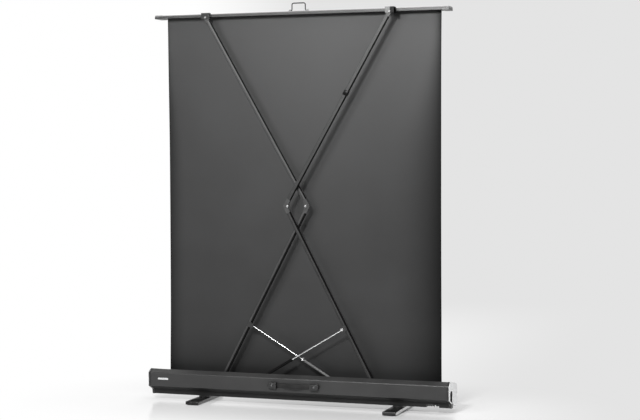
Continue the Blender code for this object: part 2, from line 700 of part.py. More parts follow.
def make_anchor(letter, side, plane):
    """An upright plate on the case floor behind the strut's lower end, with a stud that meets it."""
    front = plane - STRUT_CYLINDER_RADIUS - 2 * GAP
    rear = front - BRACKET_PLATE
    centre = side * STRUT_ANCHOR_X
    ground = max(floor_height(rear), floor_height(front)) + GAP
    outline = [(centre - ANCHOR_WIDTH / 2, ground), (centre + ANCHOR_WIDTH / 2, ground)]
    outline += arc((centre, STRUT_ANCHOR_Z), STRUT_EYE_RADIUS * 1.2, 0, 180, 10)
    plate = prism(outline, rear, front, "Y")
    stud = rod(STRUT_STUD_RADIUS, front - GAP, plane - STRUT_EYE_THICKNESS / 2 - GAP, "Y", steps=16)
    shifted(stud, (centre, 0, STRUT_ANCHOR_Z))
    node(f"strut_anchor_{letter}", joined(plate, stud), "steel")


def make_strut(letter, side, plane):
    """The rod hangs on the clip of the lower arm; the cylinder slides on it down to its anchor in the case."""
    lower = raised_angles()[0]
    x = STRUT_ALONG * math.cos(lower) + STRUT_DROP * math.sin(lower)
    z = STRUT_ALONG * math.sin(lower) - STRUT_DROP * math.cos(lower)
    head = Vector((side * (BASE_PIVOT_X - x), plane, BASE_PIVOT_Z + z))
    foot = Vector((-side * STRUT_ANCHOR_X, plane, STRUT_ANCHOR_Z))
    length = (foot - head).length
    pitch = math.asin((head.z - foot.z) / length)
    turn = 0 if side < 0 else math.pi
    half = STRUT_EYE_THICKNESS / 2

    clear = STRUT_STUD_RADIUS + 2 * PIN_CLEARANCE
    profile = [(0, clear), (STRUT_FERRULE_RADIUS, clear), (STRUT_FERRULE_RADIUS, STRUT_FERRULE_LENGTH)]
    profile += [(STRUT_ROD_RADIUS, STRUT_FERRULE_LENGTH), (STRUT_ROD_RADIUS, STRUT_ROD_LENGTH), (0, STRUT_ROD_LENGTH)]
    shank = joined(rod(STRUT_EYE_RADIUS, -half, half, "Y"), turned(profile, "X", steps=16))
    shank = cut(shank, rod(STRUT_STUD_RADIUS + PIN_CLEARANCE, -half * 2, half * 2, "Y", steps=16))
    name = f"strut_rod_{letter}"
    carrier = node(name, shank, "chrome", head, (0, pitch, turn))

    start = length - STRUT_CYLINDER_LENGTH
    end = length - STRUT_EYE_RADIUS
    radius = STRUT_CYLINDER_RADIUS
    neck = half * 0.9
    profile = [(STRUT_BORE_RADIUS, start), (STRUT_SEAL_RADIUS, start), (STRUT_SEAL_RADIUS, start + STRUT_SEAL_LENGTH)]
    profile += [(radius, start + STRUT_SEAL_LENGTH), (radius, end - neck), (neck, end - GAP)]
    profile += [(neck, end + neck), (0, end + neck)]
    profile += [(0, start + STRUT_BORE_DEPTH), (STRUT_BORE_RADIUS, start + STRUT_BORE_DEPTH)]
    body = turned(profile, "X", closed=True, steps=16)
    eye = shifted(rod(STRUT_EYE_RADIUS, -half, half, "Y"), (length, 0, 0))
    node(f"strut_cylinder_{letter}", joined(body, eye), "strut_grey", parent=carrier)


# Top bar
def bar_outline():
    """The bar's (y, z) section without its groove, from the rear foot over the top to the front foot."""
    foot = BAR_UNDERSIDE
    crown = foot + BAR_HEIGHT
    over = arc((BAR_REAR + BAR_ROUND, crown - BAR_ROUND), BAR_ROUND, 180, 90, 5)
    over += arc((BAR_FRONT - BAR_ROUND, crown - BAR_ROUND), BAR_ROUND, 90, 0, 5)
    return [(BAR_REAR, foot), *over, (BAR_FRONT, foot)]


def make_top_bar():
    groove = KEDER_RADIUS + GAP
    opening = math.degrees(math.asin(KEDER_MOUTH / 2 / groove))
    channel = arc((FABRIC_Y, KEDER_Z), groove, -90 + opening, 270 - opening, 12)
    mouth = [(FABRIC_Y + KEDER_MOUTH / 2, BAR_UNDERSIDE), *channel, (FABRIC_Y - KEDER_MOUTH / 2, BAR_UNDERSIDE)]
    inside = BAR_LENGTH / 2 - BAR_CAP_END
    bar = prism(bar_outline() + mouth, -inside, inside, "X")
    wide = KEDER_RADIUS + GAP + BAR_WALL
    spaces = ((BAR_REAR + 2 * BAR_WALL, FABRIC_Y - wide), (FABRIC_Y + wide, BAR_FRONT - 2 * BAR_WALL))
    for low, high in spaces:
        centre = ((low + high) / 2, BAR_UNDERSIDE + BAR_HEIGHT / 2)
        hollow = moved_by(rounded_box(high - low, BAR_HEIGHT - 2 * BAR_WALL, BAR_WALL, 2), centre)
        bar = cut(bar, prism(hollow, -inside - GAP, inside + GAP, "X"))
    origin = Vector((-TOP_PIVOT_X, PLANE_A, TOP_PIVOT_Z))
    made = node("top_bar", shifted(bar, -origin), "bar_black", origin)
    for side, name in ((-1, "bar_cap_left"), (1, "bar_cap_right")):
        node(name, shifted(bar_cap(side), -origin), "cast_black", parent=made)
    keder = rod(KEDER_RADIUS, -FABRIC_WIDTH / 2, FABRIC_WIDTH / 2, "X", steps=12)
    node("fabric_keder", shifted(keder, Vector((0, FABRIC_Y, KEDER_Z)) - origin), "rubber", parent=made)
    for side, plane, word in ((-1, PLANE_A, "left"), (1, PLANE_B, "right")):
        place = Vector((side * TOP_PIVOT_X, plane, TOP_PIVOT_Z)) - origin
        bracket, pin = top_bracket(plane)
        node(f"top_bracket_{word}", shifted(bracket, place), "cast_black", parent=made)
        node(f"top_pin_{word}", shifted(pin, place), "chrome", parent=made)
    make_bail(made, origin)


def bar_cap(side):
    """A shoe over the end of the bar."""
    end = side * BAR_LENGTH / 2
    start = end - side * BAR_CAP_LENGTH
    floor = end - side * (BAR_CAP_END - GAP)
    outer = prism(offset_path(bar_outline(), BAR_CAP_WALL, closed=True), start, end, "X")
    rim = [vert for vert in outer.verts if abs(vert.co.x - end) < GAP]
    bevelled(outer, 0.001, 2, lambda edge: edge.verts[0] in rim and edge.verts[1] in rim)
    socket = prism(offset_path(bar_outline(), GAP, closed=True), start - side * GAP, floor, "X")
    return cut(outer, socket)


def top_bracket(plane):
    """An inverted U on the back of the bar round the arm's eye, and its pin; both about the pivot."""
    half = ARM_THICKNESS / 2 + GAP
    rear = -half - BRACKET_PLATE
    front = BAR_REAR - GAP - plane
    roof = BRACKET_RISE - BRACKET_PLATE
    outline = [(rear, -BRACKET_SKIRT), (rear + BRACKET_PLATE, -BRACKET_SKIRT), (rear + BRACKET_PLATE, roof)]
    outline += [(front - BRACKET_PLATE, roof), (front - BRACKET_PLATE, -BRACKET_SKIRT), (front, -BRACKET_SKIRT)]
    outline += [(front, BRACKET_RISE), (rear, BRACKET_RISE)]
    body = prism(outline, -BRACKET_WIDTH / 2, BRACKET_WIDTH / 2, "X")
    hole = rod(ARM_PIN_RADIUS + PIN_CLEARANCE, rear - GAP, front + GAP, "Y")
    body = cut(body, hole)
    inside = front - BRACKET_PLATE - GAP
    head = [(0, rear - GAP - RIVET_HEIGHT), (RIVET_RADIUS * 0.8, rear - GAP - RIVET_HEIGHT)]
    head += [(RIVET_RADIUS, rear - GAP - RIVET_HEIGHT * 0.4), (RIVET_RADIUS, rear - GAP), (ARM_PIN_RADIUS, rear - GAP)]
    if inside > half + GAP:
        head += [(ARM_PIN_RADIUS, half), (COLLAR_RADIUS, half), (COLLAR_RADIUS, inside), (ARM_PIN_RADIUS, inside)]
    head += [(ARM_PIN_RADIUS, front), (0, front)]
    return body, turned(head, "Y", steps=16)


def make_bail(bar, origin):
    """The wire pull loop and the plate with two curled ears that holds it on top of the bar."""
    crown = BAR_UNDERSIDE + BAR_HEIGHT
    pivot = Vector((0, BAIL_PIVOT_Y, crown + BAIL_PIVOT_LIFT))
    half = BAIL_WIDTH / 2
    ear_gap = GAP + BAIL_WIRE
    ear_start = half + 2 * BAIL_WIRE + GAP
    reach = ear_start + BAIL_CORNER
    plate_half = reach + BAIL_WIRE
    low = crown + GAP - pivot.z
    plate = [(-plate_half, -BAIL_CORNER), (plate_half, -BAIL_CORNER), (plate_half, BAIL_CORNER), (-plate_half, BAIL_CORNER)]
    holder = prism(plate, low, low + BAIL_PLATE, "Z")
    for side in (-1, 1):
        ends = sorted((side * ear_start, side * reach))
        ear = pipe(ear_gap + BAIL_PLATE, ear_gap, ends[0], ends[1], "X", steps=16)
        holder = joined(holder, ear)
        clear = rod(ear_gap, ends[0] - GAP, ends[1] + GAP, "X", steps=16)
        holder = cut(holder, clear)
    node("bail_bracket", shifted(holder, pivot - origin), "cast_black", parent=bar)

    corner = [(half - BAIL_CORNER, BAIL_HEIGHT - BAIL_CORNER), (-half + BAIL_CORNER, BAIL_HEIGHT - BAIL_CORNER)]
    foot = [(half + BAIL_WIRE * 2, BAIL_WIRE * 2), (-half - BAIL_WIRE * 2, BAIL_WIRE * 2)]
    route = [(reach, 0.0), *arc(foot[0], BAIL_WIRE * 2, 270, 180, 3)]
    route += [*arc(corner[0], BAIL_CORNER, 0, 90, 4), *arc(corner[1], BAIL_CORNER, 90, 180, 4)]
    route += [*arc(foot[1], BAIL_WIRE * 2, 0, -90, 3), (-reach, 0.0)]
    node("bail", wire(route, BAIL_WIRE), "steel", pivot)


def wire(route, radius, steps=8):
    """A round wire along a plane (x, z) route."""
    mesh = bmesh.new()
    rings = []
    for index, point in enumerate(route):
        before = Vector(route[max(index - 1, 0)])
        after = Vector(route[min(index + 1, len(route) - 1)])
        heading = (after - before).normalized()
        normal = Vector((-heading.y, heading.x))
        ring = []
        for step in range(steps):
            angle = 2 * math.pi * step / steps
            flat = Vector(point) + normal * (radius * math.cos(angle))
            ring.append(mesh.verts.new((flat.x, radius * math.sin(angle), flat.y)))
        rings.append(ring)
    for near, far in zip(rings, rings[1:]):
        for step in range(steps):
            after = (step + 1) % steps
            mesh.faces.new((near[step], near[after], far[after], far[step]))
    mesh.faces.new(rings[0])
    mesh.faces.new(rings[-1])
    bmesh.ops.recalc_face_normals(mesh, faces=mesh.faces)
    return mesh


# Feet
def make_foot(side, word):
    """A flat swivel bar with round ends and a rubber sole, held by a flanged pivot under the keel."""
    place = Vector((side * FOOT_X, 0, 0))
    top = SOLE_THICKNESS + GAP + FOOT_THICKNESS
    bar = prism(rounded_box(FOOT_WIDTH, FOOT_LENGTH, FOOT_WIDTH / 2 - GAP, 7), SOLE_THICKNESS + GAP, top, "Z")
    upper = [vert for vert in bar.verts if abs(vert.co.z - top) < GAP]
    bevelled(bar, FOOT_EDGE, 2, lambda edge: edge.verts[0] in upper and edge.verts[1] in upper)
    under = SOLE_THICKNESS + GAP + FOOT_FLANGE_HEIGHT + GAP
    bar = cut(bar, rod(FOOT_FLANGE_RADIUS + GAP, 0, under, "Z"), rod(FOOT_BOLT_RADIUS + GAP, 0, top * 2, "Z"))
    foot = node(f"foot_{word}", bar, "case_black", place)
    sole_width = FOOT_WIDTH - 2 * SOLE_INSET
    sole = prism(rounded_box(sole_width, FOOT_LENGTH - 2 * SOLE_INSET, sole_width / 2 - GAP, 7), 0, SOLE_THICKNESS, "Z")
    sole = cut(sole, rod(FOOT_FLANGE_RADIUS + 2 * GAP, -GAP, SOLE_THICKNESS * 2, "Z"))
    node(f"foot_sole_{word}", sole, "rubber", parent=foot)
    low = SOLE_THICKNESS + GAP
    profile = [(0, low), (FOOT_FLANGE_RADIUS, low), (FOOT_FLANGE_RADIUS, low + FOOT_FLANGE_HEIGHT)]
    profile += [(FOOT_BOLT_RADIUS, low + FOOT_FLANGE_HEIGHT), (FOOT_BOLT_RADIUS, top + GAP)]
    profile += [(FOOT_HUB_RADIUS, top + GAP), (FOOT_HUB_RADIUS, CASE_BOTTOM - GAP), (0, CASE_BOTTOM - GAP)]
    node(f"foot_pivot_{word}", turned(profile, "Z"), "cast_black", place)


# Carry handle
def make_handle():
    """Two end caps on the rear face and an arched grip whose flat ends are captive in them."""
    face = REAR_FACE - GAP
    outer = HANDLE_HALF
    inner = HANDLE_HALF - HANDLE_CAP_LENGTH
    room = GRIP_HEIGHT / 2 + GAP * 2
    for side, word in ((-1, "left"), (1, "right")):
        radius = HANDLE_CAP_HEIGHT / 2
        tip = arc((outer - radius, 0), radius, -90, 90, 10)
        outline = [(inner, -radius), *tip, (inner, radius)]
        outline = [(side * x, z + HANDLE_Z) for x, z in outline]
        cap = prism(outline, face - HANDLE_CAP_DEPTH, face, "Y")
        back = [vert for vert in cap.verts if abs(vert.co.y - (face - HANDLE_CAP_DEPTH)) < GAP]
        bevelled(cap, 0.0035, 3, lambda edge: edge.verts[0] in back and edge.verts[1] in back)
        hole = [(side * (inner - GAP), HANDLE_Z - room), (side * (outer - radius), HANDLE_Z - room)]
        hole += [(side * (outer - radius), HANDLE_Z + room), (side * (inner - GAP), HANDLE_Z + room)]
        hollow = prism(hole, face - HANDLE_CAP_DEPTH + HANDLE_CAP_WALL, face + GAP, "Y")
        node(f"handle_cap_{word}", cut(cap, hollow), "cast_black")
    reach = outer - HANDLE_CAP_HEIGHT / 2 - GRIP_END_CLEARANCE
    rise = inner - GRIP_END_CLEARANCE
    near = []
    far = []
    steps = 16
    for index in range(steps + 1):
        x = -rise + 2 * rise * index / steps
        swell = 0.5 * (1 + math.cos(math.pi * x / rise))
        near.append((x, -GAP - GRIP_BOW * swell))
        far.append((x, -GAP - GRIP_THICKNESS - (GRIP_BOW + GRIP_BULGE) * swell))
    near = [(-reach, -GAP), *near, (reach, -GAP)]
    far = [(-reach, -GAP - GRIP_THICKNESS), *far, (reach, -GAP - GRIP_THICKNESS)]
    grip = prism(near + far[::-1], -GRIP_HEIGHT / 2, GRIP_HEIGHT / 2, "Z")
    node("handle_grip", grip, "rubber", (0, face, HANDLE_Z))


# Roller lock
def make_lock():
    """A toothed slider on the inside of the notched keel wall, with a ball knob on a stem through the notch."""
    near = CASE_WALL + GAP
    far = near + LOCK_SLIDER_THICKNESS
    half = LOCK_SLIDER_LENGTH / 2
    outline = [(half, LOCK_SLIDER_TOP), (-half, LOCK_SLIDER_TOP), (-half, -LOCK_SLIDER_FOOT)]
    for index in range(LOCK_TEETH):
        start = LOCK_TOOTH_PITCH * (index + 0.5) - half
        tip = -LOCK_SLIDER_FOOT - LOCK_TOOTH_DROP
        outline += [(start, -LOCK_SLIDER_FOOT), (start, tip)]
        outline += [(start + LOCK_TOOTH_WIDTH, tip), (start + LOCK_TOOTH_WIDTH, -LOCK_SLIDER_FOOT)]
    outline += [(half, -LOCK_SLIDER_FOOT)]
    plate = prism(outline, near, far, "Y")
    slope = math.atan2(KEEL_TAPER, KEEL_TOP - CASE_BOTTOM)
    place = (LOCK_X, keel_wall_y(LOCK_Z), LOCK_Z)
    slider = node("lock_slider", plate, "cast_black", place, (slope, 0, 0))
    profile = [(0, -LOCK_KNOB_RADIUS)]
    for index in range(1, 8):
        angle = math.radians(20 * index - 90)
        profile.append((LOCK_KNOB_RADIUS * math.cos(angle), LOCK_KNOB_RADIUS * math.sin(angle)))
    knob_y = -LOCK_KNOB_RADIUS - GAP
    stem_end = near - GAP - knob_y
    profile += [(LOCK_STEM_RADIUS, LOCK_KNOB_RADIUS * 0.95), (LOCK_STEM_RADIUS, stem_end), (0, stem_end)]
    knob = shifted(turned(profile, "Y", steps=16), (LOCK_KNOB_OFFSET, knob_y, 0))
    node("lock_knob", knob, "chrome", parent=slider)


def main():
    for item in list(bpy.data.objects):
        bpy.data.objects.remove(item)
    make_case()
    make_roller()
    make_fabric()
    for letter, side, plane in (("a", -1, PLANE_A), ("b", 1, PLANE_B)):
        make_chain(letter, side, plane)
        make_base(letter, side, plane)
        make_strut(letter, side, plane)
    make_top_bar()
    for side, word in ((-1, "left"), (1, "right")):
        make_foot(side, word)
    make_handle()
    make_lock()


main()
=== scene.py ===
import json
import math

import bmesh
import bpy
from mathutils import Matrix, Vector


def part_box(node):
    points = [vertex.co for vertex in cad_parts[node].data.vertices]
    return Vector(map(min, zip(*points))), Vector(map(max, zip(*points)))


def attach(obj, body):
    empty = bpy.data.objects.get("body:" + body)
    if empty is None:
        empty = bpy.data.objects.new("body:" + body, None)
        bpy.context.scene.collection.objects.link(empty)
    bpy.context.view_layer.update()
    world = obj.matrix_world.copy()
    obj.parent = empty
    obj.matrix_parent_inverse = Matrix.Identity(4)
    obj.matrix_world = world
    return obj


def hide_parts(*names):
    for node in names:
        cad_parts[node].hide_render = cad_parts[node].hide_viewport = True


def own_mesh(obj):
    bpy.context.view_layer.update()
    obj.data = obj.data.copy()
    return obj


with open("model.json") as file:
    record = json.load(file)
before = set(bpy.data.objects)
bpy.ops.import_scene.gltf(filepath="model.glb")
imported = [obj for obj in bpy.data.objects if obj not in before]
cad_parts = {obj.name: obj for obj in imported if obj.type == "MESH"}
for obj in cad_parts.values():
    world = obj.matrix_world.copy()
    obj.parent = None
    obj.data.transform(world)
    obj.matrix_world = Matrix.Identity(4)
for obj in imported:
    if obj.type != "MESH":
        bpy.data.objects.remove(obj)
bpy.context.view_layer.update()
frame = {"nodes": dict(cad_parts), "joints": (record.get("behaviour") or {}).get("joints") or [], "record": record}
nodes = frame["nodes"]
jointAt = {joint["name"]: Vector(joint.get("pos_m", (0, 0, 0))) for joint in frame["joints"]}
jointAxis = {joint["name"]: Vector(joint["axis"]) for joint in frame["joints"]}
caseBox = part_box("case_shell")
print("frame in:", len(nodes), "solids")


class Sock:  # one output socket; sums on it add Math nodes
    def __init__(self, tree, socket):
        self.tree = tree
        self.socket = socket

    def maths(self, operation, other=0.0, flipped=False):
        return self.tree.make("Math", {"operation": operation}, [other, self] if flipped else [self, other])

    def __add__(self, other):
        return self.maths("ADD", other)

    def __sub__(self, other):
        return self.maths("SUBTRACT", other)

    def __rsub__(self, other):
        return self.maths("SUBTRACT", other, True)

    def __mul__(self, other):
        return self.maths("MULTIPLY", other)

    def __truediv__(self, other):
        return self.maths("DIVIDE", other)

    def __rtruediv__(self, other):
        return self.maths("DIVIDE", other, True)

    def __abs__(self):
        return self.maths("ABSOLUTE")

    __radd__ = __add__
    __rmul__ = __mul__


class Look:  # a node tree and the few nodes used over and over
    def __init__(self, nodeTree):
        self.nodeTree = nodeTree

    def make(self, kind, settings=None, inputs=(), out=0):
        made = self.nodeTree.nodes.new("ShaderNode" + kind)
        for key, value in (settings or {}).items():
            setattr(made, key, value)
        for key, value in inputs.items() if isinstance(inputs, dict) else enumerate(inputs):
            if isinstance(value, Sock):
                self.nodeTree.links.new(value.socket, made.inputs[key])
            else:
                made.inputs[key].default_value = value
        return Sock(self, made.outputs[out])

    def place(self, scale=(1, 1, 1), turn=(0, 0, 0)):
        spot = self.make("TexCoord", out="Object")
        return self.make("Mapping", {}, {"Vector": spot, "Scale": scale, "Rotation": turn})

    def axis(self, spot, letter):
        return self.make("SeparateXYZ", {}, [spot], letter)

    def facing(self, letter):  # how far the surface faces along this axis
        return self.axis(self.make("NewGeometry", out="Normal"), letter)

    def noise(self, spot, scale, detail=3.0, rough=0.55):
        grain = {"Vector": spot, "Scale": scale, "Detail": detail, "Roughness": rough}
        return self.make("TexNoise", {}, grain)

    def cells(self, spot, scale):
        return self.make("TexVoronoi", {}, {"Vector": spot, "Scale": scale})

    def spread(self, value, low, high, fromLow=0.3, fromHigh=0.7):
        ends = {"Value": value, "From Min": fromLow, "From Max": fromHigh, "To Min": low, "To Max": high}
        return self.make("MapRange", {"interpolation_type": "SMOOTHSTEP"}, ends)

    def mix(self, share, first, second):
        ends = {0: share, 6: first, 7: second}
        return self.make("Mix", {"data_type": "RGBA"}, ends, 2)

    def greys(self, share, low, high, warmLow=0.0, warmHigh=0.0):
        return self.mix(share, tint(low, warmLow), tint(high, warmHigh))

    def bump(self, height, depth, strength=1.0):
        return self.make("Bump", {}, {"Height": height, "Distance": depth, "Strength": strength})

    def showMix(self, share, first, second, output="Material Output"):
        blend = self.make("MixShader", {}, [share, first, second])
        self.nodeTree.links.new(blend.socket, self.nodeTree.nodes[output].inputs["Surface"])


def tint(value, warm=0.0):
    return (value * (1 + warm), value, value * (1 - warm), 1)


def finishLook(name, values):  # plain numbers go straight on the sockets
    material = bpy.data.materials.new(name)
    material.use_nodes = True
    shader = material.node_tree.nodes["Principled BSDF"]
    for key, value in values.items():
        shader.inputs[key].default_value = value
    return material, Look(material.node_tree), shader


def feed(tree, shader, values):
    for key, value in values.items():
        tree.nodeTree.links.new(value.socket, shader.inputs[key])


paintedShadeBlack = {"Roughness": 0.9, "Specular IOR Level": 0.0}


def paintedShadeWhere(tree, shader, share, tone):  # plain matt black takes over where share is 1; it paints shade
    matt = tree.make("BsdfPrincipled", {}, {"Base Color": tint(tone), **paintedShadeBlack})
    tree.showMix(share, Sock(tree, shader.outputs[0]), matt)


powderCoat = {
    "dark": 0.020, "light": 0.032, "rough": (0.34, 0.48), "gloss": 0.5, "depth": 0.00018,
    "pebble": 620, "fine": 1426, "cloud": 9.0, "dust": 0.02, "dustTone": 0.45,
    "base": (0.0395, 0.0415), "baseDark": 0.006, "baseRough": 0.34,  # painted shade for the lower slope and keel: heights over the case's bottom
}


def powderLook(name="powderBlack", look=powderCoat):
    material, tree, shader = finishLook(name, {"Specular IOR Level": look["gloss"]})
    spot = tree.place()
    pebbles = tree.cells(spot, look["pebble"])
    fine = tree.noise(spot, look["fine"], 2.0)
    cloud = tree.noise(spot, look["cloud"], 4.0)
    dust = tree.spread(tree.facing("Z"), 0.0, look["dust"], 0.3, 1.0) * tree.spread(cloud, 0.3, 1.0)
    coat = tree.greys(tree.spread(fine + cloud * 0.6, 0.0, 1.0, 0.45, 1.1), look["dark"], look["light"])
    ends = [caseBox[0][2] + height for height in look["base"]]
    under = tree.spread(tree.axis(spot, "Z"), 1.0, 0.0, *ends)  # painted shade: lower slope and keel made dark and matt
    coat = tree.mix(under, coat, tint(look["baseDark"]))
    feed(tree, shader, {
        "Base Color": tree.mix(dust, coat, tint(look["dustTone"], 0.04)),
        "Roughness": tree.spread(fine + cloud, *look["rough"], 0.7, 1.3) + under * look["baseRough"],
        "Normal": tree.bump(pebbles * 0.8 + fine * 0.4, look["depth"]),
    })
    return material


anodised = {
    "dark": 0.046, "light": 0.074, "edge": 0.007, "rough": (0.34, 0.48), "metal": 0.6, "depth": 0.00003,
    "lines": 900, "stretch": 0.012, "cloud": 14.0, "scuff": 70.0, "scuffTone": 0.12, "facing": (0.6, 0.97),
    "half": 0.009, "shadowStripSoft": 0.0012, "shadeWidth": 0.0075, "shadeSoft": 0.002,
}
armPaintedShade = {  # painted shade per arm: width of the black shadow band along the lower edge, shade on the upper edge, and painted light scaling the grey
    "lower_arm_a": {"shadowStrip": 0.0085, "shade": 0.0, "paintedLightGain": 1.0},
    "lower_arm_b": {"shadowStrip": 0.0055, "shade": 0.34, "paintedLightGain": 0.85},
    "upper_arm_a": {"shadowStrip": 0.0026, "shade": 0.45, "paintedLightGain": 1.32},
    "upper_arm_b": {"shadowStrip": 0.0046, "shade": 0.0, "paintedLightGain": 0.70},
}


def barAxis(solid):  # middle and slope of a straight bar that lies in XZ
    spots = [vertex.co for vertex in solid.data.vertices]
    low, high = ([pick(spot[axis] for spot in spots) for axis in (0, 2)] for pick in (min, max))
    middle = [(a + b) / 2 for a, b in zip(low, high)]
    gaps = [(spot.x - middle[0], spot.z - middle[1]) for spot in spots]
    slope = 0.5 * math.atan2(2 * sum(a * b for a, b in gaps), sum(a * a - b * b for a, b in gaps))
    return middle, slope if slope > 0 else slope + math.pi


def anodisedLook(name, solid, look=anodised):  # lines along the bar; painted shade: matt black sides, a black band along the lower edge and a shaded upper edge
    material, tree, shader = finishLook(name, {"Metallic": look["metal"]})
    face = armPaintedShade[solid]
    spot = tree.place()
    middle, slope = barAxis(nodes[solid])
    lean = slope if slope < math.pi / 2 else slope - math.pi
    across, tall = (tree.axis(spot, letter) for letter in "XZ")
    over = (tall - middle[1]) * math.cos(slope) - (across - middle[0]) * math.sin(slope)
    unshadedFace = tree.spread(abs(tree.facing("Y")), 0.0, 1.0, *look["facing"])
    lower, soft = face["shadowStrip"] - look["half"], look["shadowStripSoft"]
    unshadedFace = unshadedFace * tree.spread(over, 0.0, 1.0, lower - soft, lower + soft)
    upper, soft = look["half"] - look["shadeWidth"], look["shadeSoft"]  # the other edge is only shaded
    unshadedFace = unshadedFace * tree.spread(over, 1.0, 1.0 - face["shade"], upper - soft, upper + soft)
    turned = tree.place(turn=(0, lean, 0))
    along = tree.make("Mapping", {}, {"Vector": turned, "Scale": (look["stretch"], 1.0, 1.0)})
    lines = tree.noise(along, look["lines"], 2.0)
    cloud = tree.noise(spot, look["cloud"], 4.0)
    scuff = tree.spread(tree.noise(spot, look["scuff"], 6.0, 0.7), 0.0, 1.0, 0.58, 0.75)
    # painted light: each arm's grey is scaled brighter or darker as the light falls on it
    dark, light = look["dark"] * face["paintedLightGain"], look["light"] * face["paintedLightGain"]
    coat = tree.greys(tree.spread(lines, 0.0, 1.0), dark, light)
    # painted shade: plain matt black wherever the face mask is off
    paintedShadeWhere(tree, shader, 1 - unshadedFace, look["edge"])
    feed(tree, shader, {
        "Base Color": tree.mix(scuff * 0.12, coat, tint(look["scuffTone"])),
        "Roughness": tree.spread(lines * 0.5 + cloud * 0.5, *look["rough"]) + scuff * 0.1,
        "Normal": tree.bump(lines, look["depth"]),
    })
    return material


moulding = {
    "dark": 0.020, "light": 0.034, "rough": (0.34, 0.50), "gloss": 0.5, "spark": 1500, "flow": 30.0,
    "depth": 0.00008,
}


def mouldedLook(name, **changes):
    look = {**moulding, **changes}
    material, tree, shader = finishLook(name, {"Specular IOR Level": look["gloss"]})
    spot = tree.place()
    spark = tree.noise(spot, look["spark"], 3.0, 0.7)
    flow = tree.noise(spot, look["flow"])
    share = tree.spread(flow + spark * 0.4, 0.0, 1.0, 0.5, 0.9)
    feed(tree, shader, {
        "Base Color": tree.greys(share, look["dark"], look["light"]),
        "Roughness": tree.spread(spark * 0.5 + flow * 0.5, *look["rough"]),
        "Normal": tree.bump(spark, look["depth"]),
    })
    return material


satinPaint = {
    "dark": 0.011, "light": 0.021, "rough": (0.26, 0.42), "gloss": 0.5, "peel": 260, "cloud": 18.0,
    "depth": 0.00006, "chip": 160.0, "chipTone": 0.16, "chipShare": 0.25,
}


def satinLook(name, **changes):
    look = {**satinPaint, **changes}
    material, tree, shader = finishLook(name, {"Specular IOR Level": look["gloss"]})
    spot = tree.place()
    peel = tree.noise(spot, look["peel"], 2.0)
    cloud = tree.noise(spot, look["cloud"], 4.0)
    chip = tree.spread(tree.noise(spot, look["chip"], 7.0, 0.75), 0.0, 1.0, 0.66, 0.72)
    coat = tree.greys(tree.spread(cloud, 0.0, 1.0), look["dark"], look["light"])
    if "worn" in look:  # painted highlight: the coat is paler towards the top
        worn = tree.spread(tree.axis(spot, "Z"), 0.0, 1.0, *look["worn"])
        coat = tree.mix(worn, coat, tint(look["wornTone"]))
    feed(tree, shader, {
        "Base Color": tree.mix(chip * look["chipShare"], coat, tint(look["chipTone"])),
        "Roughness": tree.spread(cloud * 0.6 + peel * 0.4, *look["rough"]),
        "Normal": tree.bump(peel, look["depth"]),
    })
    return material


plating = {"low": 0.66, "high": 0.80, "rough": (0.07, 0.20), "smear": 22, "hair": 1800.0, "depth": 0.00001}


def platedLook(name, **changes):
    look = {**plating, **changes}
    material, tree, shader = finishLook(name, {"Metallic": 1.0})
    smear = tree.noise(tree.place(), look["smear"], 5.0, 0.6)
    hair = tree.noise(tree.place(scale=(1.0, 0.1, 1.0)), look["hair"], 2.0)
    feed(tree, shader, {
        "Base Color": tree.greys(tree.spread(smear, 0.0, 1.0), look["low"], look["high"], 0.0, -0.01),
        "Roughness": tree.spread(smear * 0.7 + hair * 0.3, *look["rough"]),
        "Normal": tree.bump(hair, look["depth"]),
    })
    return material


zincPlate = {
    "low": 0.36, "high": 0.60, "rough": (0.28, 0.46), "metal": 0.95, "spangle": 130, "cloud": 40.0,
    "depth": 0.00004,
}


def zincLook(name, **changes):
    look = {**zincPlate, **changes}
    material, tree, shader = finishLook(name, {"Metallic": look["metal"]})
    spot = tree.place()
    flake = tree.cells(spot, look["spangle"])
    cloud = tree.noise(spot, look["cloud"], 4.0)
    share = tree.spread(flake + cloud, 0.0, 1.0, 0.5, 1.1)
    feed(tree, shader, {
        "Base Color": tree.greys(share, look["low"], look["high"], 0.02, -0.01),
        "Roughness": tree.spread(cloud, *look["rough"]),
        "Normal": tree.bump(cloud, look["depth"]),
    })
    return material


rearPlate = {
    "dark": 0.006, "rough": (0.26, 0.40), "metal": 0.9, "gloss": 0.1, "brush": 900, "cloud": 60.0,
    "depth": 0.00002, "facing": (0.75, 0.95), "soft": 0.002,
}


def plateLook(name, **changes):  # brushed face to the rear carrying a painted highlight up to one place along it, black elsewhere
    look = {**rearPlate, **changes}
    material, tree, shader = finishLook(name, {"Specular IOR Level": look["gloss"]})
    spot = tree.place()
    brush = tree.noise(tree.place(scale=(0.05, 1.0, 1.0)), look["brush"])
    cloud = tree.noise(spot, look["cloud"], 4.0)
    rear = tree.spread(0.0 - tree.facing("Y"), 0.0, 1.0, *look["facing"])
    ends = (look["bareTo"] - look["soft"], look["bareTo"] + look["soft"])
    rear = rear * tree.spread(tree.axis(spot, "X"), 1.0, 0.0, *ends)
    bare = tree.greys(tree.spread(brush * 0.5 + cloud * 0.5, 0.0, 1.0), *look["face"])
    feed(tree, shader, {
        "Base Color": tree.mix(rear, tint(look["dark"]), bare),
        "Metallic": rear * look["metal"],
        "Roughness": tree.spread(brush * 0.6 + cloud * 0.4, *look["rough"]),
        "Normal": tree.bump(brush, look["depth"]),
    })
    return material


footPaint = {
    "dark": 0.009, "light": 0.018, "rough": (0.24, 0.40), "gloss": 0.5, "rub": 420.0, "cloud": 26.0,
    "depth": 0.00003, "facing": (0.7, 0.95), "sideDim": 0.8,
}


